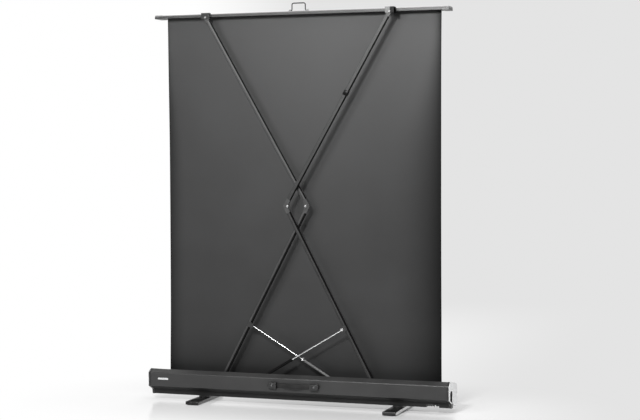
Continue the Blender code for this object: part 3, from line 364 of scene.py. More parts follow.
def footLook(name, **changes):  # black bar whose long sides are metal; their brightness is painted reflection, set per foot
    look = {**footPaint, **changes}
    material, tree, shader = finishLook(name, {"Specular IOR Level": look["gloss"]})
    rub = tree.noise(tree.place(scale=(1.0, 0.08, 1.0)), look["rub"], 4.0)
    cloud = tree.noise(tree.place(), look["cloud"], 4.0)
    side = tree.spread(abs(tree.facing("X")), 0.0, 1.0, *look["facing"])
    coat = tree.greys(tree.spread(cloud, 0.0, 1.0), look["dark"], look["light"])
    bare = tree.greys(tree.spread(rub, 0.0, 1.0), look["side"] * look["sideDim"], look["side"])
    rough = tree.spread(rub * 0.5 + cloud * 0.5, *look["rough"])
    feed(tree, shader, {
        "Base Color": tree.mix(side, coat, bare),
        "Metallic": side,
        "Roughness": rough * (1 - side) + side * look["sideRough"],
        "Normal": tree.bump(rub, look["depth"]),
    })
    return material


studHead = {
    "radius": 0.0064, "stands": 0.0075, "dark": 0.016, "light": 0.0288, "bright": (0.72, 0.80), "metal": 0.6,
    "rough": (0.16, 0.40), "gloss": 0.5, "smear": 120, "depth": 0.00003,
}


def clipLook(name="blackClipBrightStud", look=studHead):  # black plate, the stud's head left bright
    material, tree, shader = finishLook(name, {"Specular IOR Level": look["gloss"]})
    spot = tree.place()
    pivot = jointAt["strut_pivot_b"]
    along, deep, tall = (tree.axis(spot, letter) for letter in "XYZ")
    gapX, gapZ = along - pivot.x, tall - pivot.z
    near = (gapX * gapX + gapZ * gapZ).maths("LESS_THAN", look["radius"] ** 2)
    head = near * deep.maths("LESS_THAN", pivot.y - look["stands"])
    smear = tree.noise(spot, look["smear"], 4.0)
    paint = tree.greys(smear, look["dark"], look["light"])
    feed(tree, shader, {
        "Base Color": tree.mix(head, paint, tree.greys(smear, *look["bright"])),
        "Metallic": head * look["metal"],
        "Roughness": tree.spread(smear, *look["rough"]) * (1 - head * 0.5),
        "Normal": tree.bump(smear, look["depth"]),
    })
    return material


silverCap = {
    "low": 0.62, "high": 0.74, "rough": (0.24, 0.38), "metal": 0.35, "mica": 1100, "flow": 25.0,
    "depth": 0.00003,
}


def silverLook(name="silverMoulding", look=silverCap):
    material, tree, shader = finishLook(name, {"Metallic": look["metal"]})
    spot = tree.place()
    mica = tree.noise(spot, look["mica"], 2.0, 0.7)
    flow = tree.noise(spot, look["flow"])
    share = tree.spread(mica * 0.6 + flow * 0.4, 0.0, 1.0)
    feed(tree, shader, {
        "Base Color": tree.greys(share, look["low"], look["high"], 0.0, -0.01),
        "Roughness": tree.spread(mica, *look["rough"]),
        "Normal": tree.bump(mica, look["depth"]),
    })
    return material


endCap = {
    "face": (0.70, 0.82), "rim": (0.010, 0.020), "rough": (0.26, 0.40), "gloss": 0.5, "mica": 1100,
    "flow": 25.0, "depth": 0.00003, "faceDepth": 0.0022, "faceSoft": 0.7, "keel": 0.020, "soft": 0.001,
}


def capLook(name="twoToneCap", look=endCap):  # pale outer face; rim, pocket and keel are black
    material, tree, shader = finishLook(name, {"Specular IOR Level": look["gloss"]})
    spot = tree.place()
    mica = tree.noise(spot, look["mica"], 2.0, 0.7)
    flow = tree.noise(spot, look["flow"])
    share = tree.spread(mica * 0.6 + flow * 0.4, 0.0, 1.0)
    along, deep, tall = (tree.axis(spot, letter) for letter in "XYZ")
    end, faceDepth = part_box("end_cap_right")[1][0], look["faceDepth"]
    outer = tree.spread(abs(along), 0.0, 1.0, end - faceDepth, end - faceDepth * look["faceSoft"])
    keelTop = caseBox[0][2] + look["keel"]
    keel = tree.spread(tall, 1.0, 0.0, keelTop - look["soft"], keelTop)
    keel = keel * tree.spread(deep, 1.0, 0.0, -look["soft"], look["soft"])
    dark = tree.greys(share, *look["rim"])
    pale = tree.greys(share, *look["face"], 0.0, -0.01)
    feed(tree, shader, {
        "Base Color": tree.mix(outer * (1 - keel), dark, pale),
        "Roughness": tree.spread(mica, *look["rough"]),
        "Normal": tree.bump(mica, look["depth"]),
    })
    return material


rubberFinish = {
    "dark": 0.008, "light": 0.018, "rough": (0.62, 0.82), "gloss": 0.35, "grain": 700, "bloom": 24.0,
    "depth": 0.00012,
}


def rubberLook(name="softRubber", look=rubberFinish):
    material, tree, shader = finishLook(name, {"Specular IOR Level": look["gloss"]})
    spot = tree.place()
    grain = tree.noise(spot, look["grain"], 4.0, 0.7)
    bloom = tree.noise(spot, look["bloom"], 4.0)
    feed(tree, shader, {
        "Base Color": tree.greys(tree.spread(bloom, 0.0, 1.0), look["dark"], look["light"], 0.0, 0.02),
        "Roughness": tree.spread(grain * 0.5 + bloom * 0.5, *look["rough"]),
        "Normal": tree.bump(grain, look["depth"]),
    })
    return material


backCloth = {
    "dark": 0.0090, "light": 0.0135, "rough": (0.44, 0.50), "gloss": 0.55, "depth": 0.00010,
    "thread": 183.121, "stray": 0.6, "cloud": 5.0, "fine": 420.0,
    "edgeShadeWidth": (0.09, 0.27), "edgeShadeShare": (0.62, 0.88), "edgeShadeCurve": 2.2, "paintedShadeTone": 0.004,  # left, right
    "edgeShadeTop": (1.0, 1.65), "edgeShadeNarrow": 0.2, "caseShade": (0.14, 0.36), "caseShadeShare": 0.28,
    "far": (0.05, 0.42), "upperRightShadeShare": 0.17, "upperRightShadeLow": (0.3, 0.8),
}


def clothLook(name="blackBackCloth", look=backCloth):  # coated cloth: threads, soft clouds; painted shade on the side edges, by the case and on the upper right
    material, tree, shader = finishLook(name, {"Specular IOR Level": look["gloss"]})
    spot = tree.place()
    threads = {"Vector": spot, "Scale": look["thread"], "Distortion": look["stray"]}
    warp, weft = (tree.make("TexWave", {"bands_direction": letter}, threads, 1) for letter in "XZ")
    cloud = tree.noise(spot, look["cloud"], 5.0)
    fine = tree.noise(spot, look["fine"])
    across, tall = (tree.axis(spot, letter) for letter in "XZ")
    right = across.maths("GREATER_THAN", 0.0)
    wide, edgeShadeStrength = (right * (pair[1] - pair[0]) + pair[0] for pair in (look["edgeShadeWidth"], look["edgeShadeShare"]))
    wide = wide * tree.spread(tall, 1.0, look["edgeShadeNarrow"], *look["edgeShadeTop"])
    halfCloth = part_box("screen_fabric")[1][0]
    rim = (1 - (halfCloth - abs(across)) / wide).maths("MAXIMUM", 0.0).maths("POWER", look["edgeShadeCurve"])
    edgeShade = rim * edgeShadeStrength  # painted shade on the side edges, wider on the right and towards the floor
    caseShade = tree.spread(tall, look["caseShadeShare"], 0.0, *look["caseShade"])  # painted shade by the case
    far = tree.spread(across, 0.0, look["upperRightShadeShare"], *look["far"])  # and a little painted shade on the upper right
    far = far * tree.spread(tall, 0.0, 1.0, *look["upperRightShadeLow"])
    paintedShade = edgeShade + caseShade * (1 - edgeShade)
    paintedShadeWhere(tree, shader, paintedShade + far * (1 - paintedShade), look["paintedShadeTone"])
    share = tree.spread(cloud * 0.6 + fine * 0.4, 0.0, 1.0)
    feed(tree, shader, {
        "Base Color": tree.greys(share, look["dark"], look["light"], 0.0, -0.02),
        "Roughness": tree.spread(cloud * 0.5 + fine * 0.5, *look["rough"]),
        "Normal": tree.bump(warp * weft + fine * 0.3, look["depth"], 0.5),
    })
    return material


whiteCoat = {
    "low": 0.83, "high": 0.86, "rough": (0.62, 0.74), "gloss": 0.3, "grain": 900, "cloud": 4.0,
    "depth": 0.00006,
}


def whiteLook(name="mattWhiteCoat", look=whiteCoat):
    material, tree, shader = finishLook(name, {"Specular IOR Level": look["gloss"]})
    spot = tree.place()
    grain = tree.noise(spot, look["grain"], 3.0, 0.7)
    cloud = tree.noise(spot, look["cloud"], 4.0)
    feed(tree, shader, {
        "Base Color": tree.greys(tree.spread(cloud, 0.0, 1.0), look["low"], look["high"], 0.01, 0.005),
        "Roughness": tree.spread(grain, *look["rough"]),
        "Normal": tree.bump(grain, look["depth"]),
    })
    return material


paintedHighlights = {"sheenFrom": 0.0082, "sheenTo": 0.0032, "highlightShare": 0.56}  # painted highlights: depths under the bar's top, and the share of the bracket lit
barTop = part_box("top_bar")[1][2]
barSheen = (barTop - paintedHighlights["sheenFrom"], barTop - paintedHighlights["sheenTo"])  # painted highlight: the bar is paler along its upper half
bracketLow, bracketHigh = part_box("top_bracket_right")
bareTo = bracketLow[0] + paintedHighlights["highlightShare"] * (bracketHigh[0] - bracketLow[0])  # painted highlight on about its left half

looks = {
    "case_paint": powderLook(),
    "cap_silver": capLook(),
    "plateSilver": silverLook(),
    "bar_black": satinLook("satinBar", dark=0.005, light=0.010, worn=barSheen, wornTone=0.14),
    "barCap": satinLook("satinBarCap", dark=0.004, light=0.008, worn=barSheen, wornTone=0.18),
    # painted highlight: the right plate's rear face is much paler than the left's
    "rearPlateLeft": plateLook("plateHighlightLeft", face=(0.024, 0.038), bareTo=0.0),
    "rearPlateRight": plateLook("plateHighlightRight", face=(0.070, 0.105), bareTo=bareTo),
    # painted reflection: the right foot's sides are brighter than the left's
    "footLeft": footLook("footLitSideLeft", side=0.20, sideRough=0.30),
    "footRight": footLook("footLitSideRight", side=0.75, sideRough=0.16),
    "knuckle": mouldedLook("mouldedKnuckle", dark=0.026, light=0.044),
    "screwSteel": zincLook("dullScrew", low=0.09, high=0.16),
    # painted highlight: cylinder a is a paler grey than the black of cylinder b
    "strutPaintedHighlight": satinLook("strutHighlightGrey", dark=0.065, light=0.095, rough=(0.42, 0.52)),
    "lowerArmA": anodisedLook("anodisedLowerA", "lower_arm_a"),
    "lowerArmB": anodisedLook("anodisedLowerB", "lower_arm_b"),
    "upperArmA": anodisedLook("anodisedUpperA", "upper_arm_a"),
    "upperArmB": anodisedLook("anodisedUpperB", "upper_arm_b"),
    "moulded_black": mouldedLook("mouldedBlack"),
    "bracket_black": satinLook("satinBlackPaint"),
    "bright_steel": platedLook("brightPlate"),
    "knobSatin": platedLook("satinKnob", rough=(0.22, 0.36)),
    # painted shade: rod a is dimmed below the bright steel of rod b
    "shadedRodChrome": platedLook("shadedRodChrome", low=0.15, high=0.20),
    "handleCap": mouldedLook("mouldedHandle", dark=0.012, light=0.020),
    "plain_steel": zincLook("zincSteel"),
    "bailWire": satinLook("darkWire", dark=0.006, light=0.010, gloss=0.2),
    "bailFoot": satinLook("rubbedFoot", dark=0.20, light=0.28),
    "pinSteel": platedLook("dullPin", low=0.16, high=0.22, rough=(0.24, 0.38)),
    "studClip": clipLook(),
    "armClip": satinLook("clipBlack", dark=0.003, light=0.006, gloss=0.1),
    "strut_grey": satinLook("strutBlackPaint", dark=0.003, light=0.005, rough=(0.60, 0.75), gloss=0.08),
    "rubber": rubberLook(),
    "black_fabric": clothLook(),
    "white_coating": whiteLook(),
}
print("finishes:", len(looks))

ownLooks = {  # solids, or pairs of solids, whose finish differs from the rest of their slot
    "lower_arm_a": "lowerArmA", "lower_arm_b": "lowerArmB",
    "upper_arm_a": "upperArmA", "upper_arm_b": "upperArmB",
    "lock_knob": "knobSatin", "bail": "bailWire", "bail_bracket": "bailFoot", "bar_cap": "barCap",
    "top_bracket_left": "rearPlateLeft", "top_bracket_right": "rearPlateRight", "top_pin": "pinSteel",
    "strut_clip_a": "bracket_black", "strut_clip_b": "studClip", "strut_cylinder_a": "strutPaintedHighlight",
    "strut_rod_a": "shadedRodChrome", "handle_cap": "handleCap",
    "elbow_fork": "knuckle", "elbow_tongue": "knuckle",
}
edgeWidths = {  # small edge rounding on the solids, in metres
    "case_shell": 0.0006, "end_cap": 0.0008, "top_bar": 0.0004, "bar_cap": 0.0004, "top_bracket": 0.0006,
    "elbow_fork": 0.0006, "elbow_tongue": 0.0005, "strut_clip": 0.0005, "handle_cap": 0.0008,
    "bail_bracket": 0.0003, "lower_arm": 0.0026, "upper_arm": 0.0026,
}
dressing = {"weld": 0.00001, "roundFrom": 35, "splitFrom": 34, "steps": 2, "armSteps": 4, "sharpFrom": 40}


def pairName(name):  # a solid's name without its side
    for ending in ("_left", "_right", "_a", "_b"):
        name = name.removesuffix(ending)
    return name


def dressSolids(look=dressing):
    slotOf = {part["node"]: part["material_slot"] for part in frame["record"]["subparts"]}
    for name, solid in nodes.items():
        pair = pairName(name)
        key = ownLooks.get(name, ownLooks.get(pair, slotOf[name]))
        solid.data.materials.clear()
        solid.data.materials.append(looks[key])
        solid.data.polygons.foreach_set("use_smooth", [True] * len(solid.data.polygons))
        weld = solid.modifiers.new("weld", "WELD")
        weld.merge_threshold = look["weld"]
        if pair in edgeWidths:
            soften = solid.modifiers.new("soften", "BEVEL")
            soften.width = edgeWidths[pair]
            soften.segments = look["armSteps"] if name in armPaintedShade else look["steps"]
            soften.angle_limit = math.radians(look["roundFrom"])
        split = solid.modifiers.new("split", "EDGE_SPLIT")
        split.split_angle = math.radians(look["splitFrom"])
        split.use_edge_sharp = False
        even = solid.modifiers.new("even", "WEIGHTED_NORMAL")
        even.keep_sharp = True
    print("solids dressed:", len(nodes))


def addPiece(name, mesh, lookName, body, stands=()):
    bmesh.ops.recalc_face_normals(mesh, faces=mesh.faces)
    data = bpy.data.meshes.new(name)
    mesh.to_mesh(data)
    mesh.free()
    data.materials.append(looks[lookName])
    data.shade_smooth()
    data.set_sharp_from_angle(angle=math.radians(dressing["sharpFrom"]))
    piece = bpy.data.objects.new(name, data)
    bpy.context.scene.collection.objects.link(piece)
    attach(piece, body)
    if stands:
        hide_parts(*stands)
    return piece


def ringMesh(rings, closed=False):  # skins equal rings, which close on themselves or have capped ends
    mesh = bmesh.new()
    rows = [[mesh.verts.new(point) for point in ring] for ring in rings]
    count = len(rows[0])
    for near, far in zip(rows, rows[1:] + rows[:1] if closed else rows[1:]):
        for step in range(count):
            after = (step + 1) % count
            mesh.faces.new((near[step], near[after], far[after], far[step]))
    if not closed:
        mesh.faces.new(rows[0])
        mesh.faces.new(rows[-1])
    return mesh


def cornerPoints(halfA, halfB, radius):  # the round corners of a rectangle about the origin, in order
    points = []
    for signA, signB, first in ((1, 1, 0), (-1, 1, 90), (-1, -1, 180), (1, -1, 270)):
        for step in range(5):
            angle = math.radians(first + 22.5 * step)
            points.append((signA * (halfA - radius) + radius * math.cos(angle),
                           signB * (halfB - radius) + radius * math.sin(angle)))
    return points


screenCloth = {
    "cells": (96, 120), "thick": 0.0005, "waist": 0.0035, "waistCurve": 0.7, "keep": 0.035,
    "ripple": 0.0004, "longWave": (9, 2.1, 0.6), "shortWave": (23, -4.0, 0.4),  # bends, shift, share
    "curl": 0.004, "curlWidth": 0.07, "curlFrom": (0.16, 0.42), "curlTo": (1.10, 1.58),
    "coatCells": (60, 60), "coatThick": 0.0003, "coatWaist": 0.9,
}


def easeStep(value, low, high):
    share = min(1.0, max(0.0, (value - low) / (high - low)))
    return share * share * (3 - 2 * share)


def clothWave(x, z, low, high, halfCloth, look=screenCloth):  # how far the cloth stands off its flat plane
    rise = (z - low) / (high - low)
    slack = max(0.0, math.sin(math.pi * rise))
    longBend, longShift, longShare = look["longWave"]
    shortBend, shortShift, shortShare = look["shortWave"]
    wave = math.sin(longBend * x + longShift) * longShare
    wave += math.sin(shortBend * x + shortShift * rise) * shortShare
    wide = look["curlWidth"]  # the side hems curl to the front
    rim = max(0.0, abs(x) - halfCloth + wide) / wide
    loose = easeStep(z, *look["curlFrom"]) * (1 - easeStep(z, *look["curlTo"]))
    return look["ripple"] * slack * wave + look["curl"] * rim ** 2 * loose


def makeScreen(look=screenCloth):
    low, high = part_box("screen_fabric")
    mid = (low[1] + high[1]) / 2
    half = (high[0] - low[0]) / 2
    roller, top = low[2], high[2]

    def clothMesh(corners, offset, thick, cells, pinch):
        (left, lower), (right, upper) = corners
        columns, rows = cells
        mesh = bmesh.new()
        sheets = []
        for side in (-0.5, 0.5):
            grid = []
            for row in range(rows + 1):
                z = lower + (upper - lower) * row / rows
                hang = max(0.0, math.sin(math.pi * (z - roller) / (top - roller)))
                tuck = pinch * hang ** look["waistCurve"]
                line = []
                for column in range(columns + 1):
                    x = left + (right - left) * column / columns
                    y = mid + offset + side * thick + clothWave(x, z, roller, top, half)
                    line.append(mesh.verts.new((x * (1 - tuck / half), y, z)))
                grid.append(line)
            sheets.append(grid)
        for grid in sheets:
            for near, far in zip(grid, grid[1:]):
                for column in range(columns):
                    mesh.faces.new((near[column], near[column + 1], far[column + 1], far[column]))
        back, front = sheets
        rim = [(0, column) for column in range(columns)] + [(row, columns) for row in range(rows)]
        rim += [(rows, columns - column) for column in range(columns)]
        rim += [(rows - row, 0) for row in range(rows)]
        for (row, column), (nextRow, nextColumn) in zip(rim, rim[1:] + rim[:1]):
            mesh.faces.new((back[row][column], back[nextRow][nextColumn],
                            front[nextRow][nextColumn], front[row][column]))
        return mesh

    whole = ((-half, roller), (half, top))
    cloth = clothMesh(whole, 0.0, look["thick"], look["cells"], look["waist"])
    sheet = addPiece("screenCloth", cloth, "black_fabric", "case", ("screen_fabric",))
    imageLow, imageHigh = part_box("viewing_surface")
    area = ((imageLow[0], imageLow[2]), (imageHigh[0], imageHigh[2]))
    stand = (imageLow[1] + imageHigh[1]) / 2 - mid
    coat = clothMesh(area, stand, look["coatThick"], look["coatCells"], look["waist"] * look["coatWaist"])
    image = addPiece("imageCoat", coat, "white_coating", "case", ("viewing_surface",))
    sheetFlat = (2 * half, top - roller)
    imageFlat = (area[1][0] * 2, area[1][1] - area[0][1])
    for piece, flat in ((sheet, sheetFlat), (image, imageFlat)):
        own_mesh(piece)
    print("screen cloth hung")


roll = {"turns": 3.0, "steps": 40, "thick": 0.00032}


def makeRoll(look=roll):  # the turns left on the roller, one spiral strip
    low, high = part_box("fabric_wrap")
    centre = ((low[1] + high[1]) / 2, (low[2] + high[2]) / 2)
    outer = (high[2] - low[2]) / 2 - look["thick"] * 0.5
    tubeLow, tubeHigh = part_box("roller_tube")
    start = (tubeHigh[2] - tubeLow[2]) / 2 + look["thick"]
    count = int(look["turns"] * look["steps"])
    inside, outside = [], []
    for index in range(count + 1):
        angle = math.tau * index / look["steps"] - math.pi * 0.5
        radius = start + (outer - start) * index / count
        for path, reach in ((inside, radius - look["thick"] / 2), (outside, radius + look["thick"] / 2)):
            path.append((centre[0] + reach * math.cos(angle), centre[1] + reach * math.sin(angle)))
    outline = inside + outside[::-1]
    total = len(outline)
    mesh = bmesh.new()
    ends = [[mesh.verts.new((x, y, z)) for y, z in outline] for x in (low[0], high[0])]
    for index in range(total):
        after = (index + 1) % total
        mesh.faces.new((ends[0][index], ends[0][after], ends[1][after], ends[1][index]))
    for side in ends:
        for index in range(count):
            mesh.faces.new((side[index], side[index + 1], side[total - 2 - index], side[total - 1 - index]))
    wrap = addPiece("clothRoll", mesh, "black_fabric", "roller", ("fabric_wrap",))
    print("cloth roll wound")


grip = {
    "rings": 72, "rise": 0.074, "ends": 0.005, "thicken": 0.004, "narrow": 0.0012, "corner": 0.0022,
    "ribs": 13, "ribReach": 0.045, "ribHeight": 0.0008,
}


def makeGrip(look=grip):  # soft arched strap with finger ribs across its back
    low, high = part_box("handle_grip")
    half, mid = high[0], (low[2] + high[2]) / 2
    tall = (high[2] - low[2]) / 2
    bow = high[1] - low[1] - look["ends"]
    rise, reach, cut = look["rise"], look["ribReach"], look["corner"]
    sections = []
    for index in range(look["rings"] + 1):
        x = -half + 2 * half * index / look["rings"]
        swell = 0.5 * (1 + math.cos(math.pi * x / rise)) if abs(x) < rise else 0.0
        inner = high[1] - (bow - look["thicken"]) * swell
        outer = high[1] - look["ends"] - bow * swell
        back = outer + look["ribHeight"]
        height = tall - look["narrow"] * swell
        rib = 0.0
        if abs(x) < reach:
            rib = look["ribHeight"] * (0.5 + 0.5 * math.cos(2 * math.pi * x * look["ribs"] / (2 * reach)))
        corners = ((inner - cut, height - cut, 90), (inner - cut, cut - height, 0),
                   (back + cut, cut - height, -90), (back + cut, height - cut, 180))
        centre = (inner + outer) / 2
        ring = []
        for cornerY, cornerZ, first in corners:
            for step in range(4):
                angle = math.radians(first - 30 * step)
                y = cornerY + cut * math.cos(angle)
                onBack = max(0.0, (centre - y) / (centre - outer))
                ring.append((x, y - rib * onBack, mid + cornerZ + cut * math.sin(angle)))
        sections.append(ring)
    addPiece("gripStrap", ringMesh(sections), "rubber", "handle", ("handle_grip",))
    print("grip lofted")


screw = {
    "radius": 0.0052, "tall": 0.55, "steps": 24, "cross": 0.42, "waist": 0.17, "taper": 0.8, "floor": 0.35,
    "dome": ((1.0, 0.0), (1.0, 0.3), (0.93, 0.62), (0.75, 0.86), (0.5, 0.97)),  # shares of radius and height
}


def screwMesh(look=screw):  # pan head with a cross recess, lying on the XY plane and facing +Z
    radius, steps = look["radius"], look["steps"]
    tall = radius * look["tall"]
    bearings = [math.tau * step / steps for step in range(steps)]

    def ring(reaches, height, share=1.0):
        points = []
        for reach, angle in zip(reaches, bearings):
            x, y = radius * reach * math.cos(angle), radius * reach * math.sin(angle)
            points.append((x * share, y * share, tall * height))
        return points

    rings = [ring([reach] * steps, height) for reach, height in look["dome"]]
    cross = [look["cross"] if step % 6 in (0, 1, 5) else look["waist"] for step in range(steps)]
    rings.append(ring(cross, 1.0))
    rings.append(ring(cross, look["floor"], look["taper"]))
    return ringMesh(rings)


def makeScrews():  # one in each cap of the carry handle
    for word in ("Left", "Right"):
        low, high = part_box("handle_cap_" + word.lower())
        spot = ((low[0] + high[0]) / 2, low[1], (low[2] + high[2]) / 2)
        turn = Vector((0, -1, 0)).to_track_quat("Z", "Y").to_matrix().to_4x4()
        mesh = screwMesh()
        bmesh.ops.transform(mesh, matrix=Matrix.Translation(spot) @ turn, verts=mesh.verts)
        addPiece(f"handleScrew{word}", mesh, "screwSteel", "case")
    print("screws set")


badge = {
    "long": 0.050, "tall": 0.0084, "thick": 0.0008, "corner": 0.002, "edge": 0.0003, "bend": (0.4, 0.3),
    "fromEnd": 0.061, "rise": 0.075, "gap": 0.0001,  # its middle, from the case's left end and bottom
}


def makeBadge(look=badge):  # the blank plate on the back of the case
    long, tall, thick, edge = (look[key] for key in ("long", "tall", "thick", "edge"))
    outline = cornerPoints(long / 2, tall / 2, look["corner"])
    rings = []
    bendIn, bendUp = (edge * share for share in look["bend"])
    for inset, y in ((0, 0), (0, -thick + edge), (bendIn, -thick + bendUp), (edge, -thick)):
        shareX, shareZ = 1 - 2 * inset / long, 1 - 2 * inset / tall
        rings.append([(x * shareX, y, z * shareZ) for x, z in outline])
    mesh = ringMesh(rings)
    left, rear, bottom = caseBox[0]
    spot = (left + look["fromEnd"], rear - look["gap"], bottom + look["rise"])
    bmesh.ops.translate(mesh, vec=spot, verts=mesh.verts)
    addPiece("blankPlate", mesh, "plateSilver", "case")
    print("plate on")


clip = {
    "along": 0.585, "length": 0.022, "wall": 0.0016, "slack": 0.0004, "edge": 0.0005,
    "armHalf": (0.005, 0.009), "elbowOffset": 0.009,  # half of the arm's thickness and width
}


def makeClip(look=clip):  # small snap clip round the right upper arm
    elbow = jointAt["elbow_b"]
    top = Vector((-jointAt["bar_level"].x, elbow.y, jointAt["bar_level"].z))
    heading = (top - elbow).normalized()
    lean = math.atan2(heading.z, heading.x)
    side = Vector((-heading.z, 0, heading.x))
    spot = elbow.lerp(top, look["along"]) + side * (look["elbowOffset"] * (1 - look["along"]))
    paths = []
    for wall in (look["wall"], 0.0):
        thick, wide = (half + look["slack"] + wall for half in look["armHalf"])
        paths.append([(-thick, -wide), (thick, -wide), (thick, wide), (-thick, wide)])
    mesh = bmesh.new()
    rows = []
    for x in (-look["length"] / 2, look["length"] / 2):
        rows.append([[mesh.verts.new((x, y, z)) for y, z in path] for path in paths])
    (outerNear, innerNear), (outerFar, innerFar) = rows
    for index in range(4):
        after = (index + 1) % 4
        mesh.faces.new((outerNear[index], outerNear[after], outerFar[after], outerFar[index]))
        mesh.faces.new((innerNear[index], innerFar[index], innerFar[after], innerNear[after]))
        for outer, inner in rows:
            mesh.faces.new((outer[index], inner[index], inner[after], outer[after]))
    bmesh.ops.recalc_face_normals(mesh, faces=mesh.faces)
    bmesh.ops.bevel(mesh, geom=mesh.edges[:], offset=look["edge"], segments=2, profile=0.5, affect="EDGES")
    turn = Matrix.Rotation(-lean, 4, "Y")
    bmesh.ops.transform(mesh, matrix=Matrix.Translation(spot) @ turn, verts=mesh.verts)
    addPiece("armClip", mesh, "armClip", "upper_arm_b")
    print("arm clip on")


seal = {
    "a": {"radius": 0.0104, "wire": 0.0030, "long": 0.0062, "look": "bright_steel", "side": -1},
    # painted shade: ring b takes the strut's black, ring a is bright steel
    "b": {"radius": 0.0078, "wire": 0.0013, "long": 0.0021, "look": "strut_grey", "side": 1},
    "fromEye": 0.270, "eye": 0.0075, "steps": (32, 10),
}


def makeSeals(look=seal):  # ring where each rod enters its cylinder
    around, section = look["steps"]
    for letter in "ab":
        own = look[letter]
        along = -jointAxis["strut_slide_" + letter]
        head = jointAt["strut_pivot_" + letter]
        low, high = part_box("strut_cylinder_" + letter)
        footX = high[0] - look["eye"] if own["side"] < 0 else low[0] + look["eye"]
        foot = Vector((footX, head.y, low[2] + look["eye"]))
        spot = head + along * ((foot - head).dot(along) - look["fromEye"])
        turn = along.to_track_quat("Z", "Y").to_matrix().to_4x4()
        rings = []
        for index in range(around):
            angle = math.tau * index / around
            ring = []
            for step in range(section):
                tilt = math.tau * step / section
                radius = own["radius"] - own["wire"] * (1 - math.cos(tilt))
                rise = own["long"] * math.sin(tilt)
                ring.append((radius * math.cos(angle), radius * math.sin(angle), rise))
            rings.append(ring)
        mesh = ringMesh(rings, closed=True)
        bmesh.ops.transform(mesh, matrix=Matrix.Translation(spot) @ turn, verts=mesh.verts)
        addPiece("sealRing" + letter.upper(), mesh, own["look"], "strut_cylinder_" + letter)
    print("seal rings on")


footBar = {
    "corner": 0.0045, "edge": 0.003, "bend": 0.29, "lowEdge": 0.0006, "soleEdge": 0.0008, "steps": 36,
    "bolt": 0.0073, "flange": 0.0143, "flangeTop": 0.0077, "soleHole": 0.0146,  # stepped hole for the pivot
}


def blockRing(half, corner, z, steps):  # rounded rectangle, evenly stepped by bearing with its corners kept
    halfX, halfY = half
    points = {}
    for turn in range(steps):
        angle = math.tau * turn / steps
        reach = min(halfX / max(abs(math.cos(angle)), 1e-9), halfY / max(abs(math.sin(angle)), 1e-9))
        x, y = reach * math.cos(angle), reach * math.sin(angle)
        if abs(x) < halfX - corner or abs(y) < halfY - corner:
            points[angle] = (x, y, z)
    for x, y in cornerPoints(halfX, halfY, corner):
        points[math.atan2(y, x) % math.tau] = (x, y, z)
    bearings = sorted(points)
    return [points[angle] for angle in bearings], bearings


def piercedBlock(box, profile, holes, look=footBar):  # rings up the outside, then down the hole
    half = [(box[1][axis] - box[0][axis]) / 2 for axis in (0, 1)]
    rings = []
    for inset, z in profile:
        ring, bearings = blockRing([side - inset for side in half], look["corner"] - inset, z, look["steps"])
        rings.append(ring)
    for radius, z in holes:
        rings.append([(radius * math.cos(angle), radius * math.sin(angle), z) for angle in bearings])
    return ringMesh(rings, closed=True)


def makeFeet(look=footBar):  # square-ended bars with a hole for the pivot, each on a thin sole
    edge, lowEdge, soleEdge = look["edge"], look["lowEdge"], look["soleEdge"]
    bend = edge * look["bend"]
    for word in ("left", "right"):
        footBox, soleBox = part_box("foot_" + word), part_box("foot_sole_" + word)
        centre = [(footBox[0][axis] + footBox[1][axis]) / 2 for axis in (0, 1)] + [0]
        low, high, soleLow, soleHigh = footBox[0][2], footBox[1][2], soleBox[0][2], soleBox[1][2]
        profile = ((lowEdge, low), (0.0, low + lowEdge), (0.0, high - edge),
                   (bend, high - bend), (edge, high))
        holes = ((look["bolt"], high), (look["bolt"], look["flangeTop"]),
                 (look["flange"], look["flangeTop"]), (look["flange"], low))
        bar = piercedBlock(footBox, profile, holes)
        bmesh.ops.translate(bar, vec=centre, verts=bar.verts)
        title = word.capitalize()
        addPiece("footBar" + title, bar, "foot" + title, "foot_" + word, ("foot_" + word,))
        profile = ((soleEdge, soleLow), (0.0, soleLow + soleEdge), (0.0, soleHigh))
        holes = ((look["soleHole"], soleHigh), (look["soleHole"], soleLow))
        sole = piercedBlock(soleBox, profile, holes)
        bmesh.ops.translate(sole, vec=centre, verts=sole.verts)
        addPiece("footPad" + title, sole, "rubber", "foot_" + word, ("foot_sole_" + word,))
    print("feet squared")


backdrop = {
    "left": 1.0, "right": 0.775, "leftAt": -0.40, "rightAt": -0.318, "room": 0.22,
    "behind": 0.05, "behindAt": (-0.4, 0.3),
}


def backdropTone(tree, direction):  # white on the left, pale grey on the right
    x = tree.axis(direction, "X")
    return tree.spread(x, backdrop["left"], backdrop["right"], backdrop["leftAt"], backdrop["rightAt"])


def seenShare(tree):  # 1 for rays that show the backdrop itself
    kinds = ("Is Camera Ray", "Is Glossy Ray", "Is Transmission Ray")
    direct, glossy, through = (tree.make("LightPath", out=kind) for kind in kinds)
    return (direct + glossy + through).maths("MINIMUM", 1.0)


def makeRoom(look=backdrop):
    world = bpy.data.worlds.new("studio")
    bpy.context.scene.world = world
    world.use_nodes = True
    tree = Look(world.node_tree)
    heading = tree.make("TexCoord", out="Generated")
    deep = tree.axis(heading, "Y")
    dim = 1 - tree.spread(deep, look["behind"], 1.0, *look["behindAt"])
    mirrored = tree.make("LightPath", out="Is Glossy Ray") * dim
    tone = backdropTone(tree, heading) * (1 - mirrored)  # reflections show a dimmer room behind the camera
    shown = tree.make("Background", {}, {"Color": tone, "Strength": 1.0})
    room = tree.make("Background", {}, {"Color": tint(1.0), "Strength": look["room"]})
    tree.showMix(seenShare(tree), room, shown, "World Output")
    print("room painted")


studioFloor = {
    "tone": 0.84, "rough": 0.16, "radius": 70, "segments": 96, "under": 0.55, "near": 0.04, "far": 0.90,
    "glow": (0.30, 0.02), "glowAt": (-0.6, 0.4), "fade": (-0.6, 0.9), "blend": (0.8, 5.0),
}


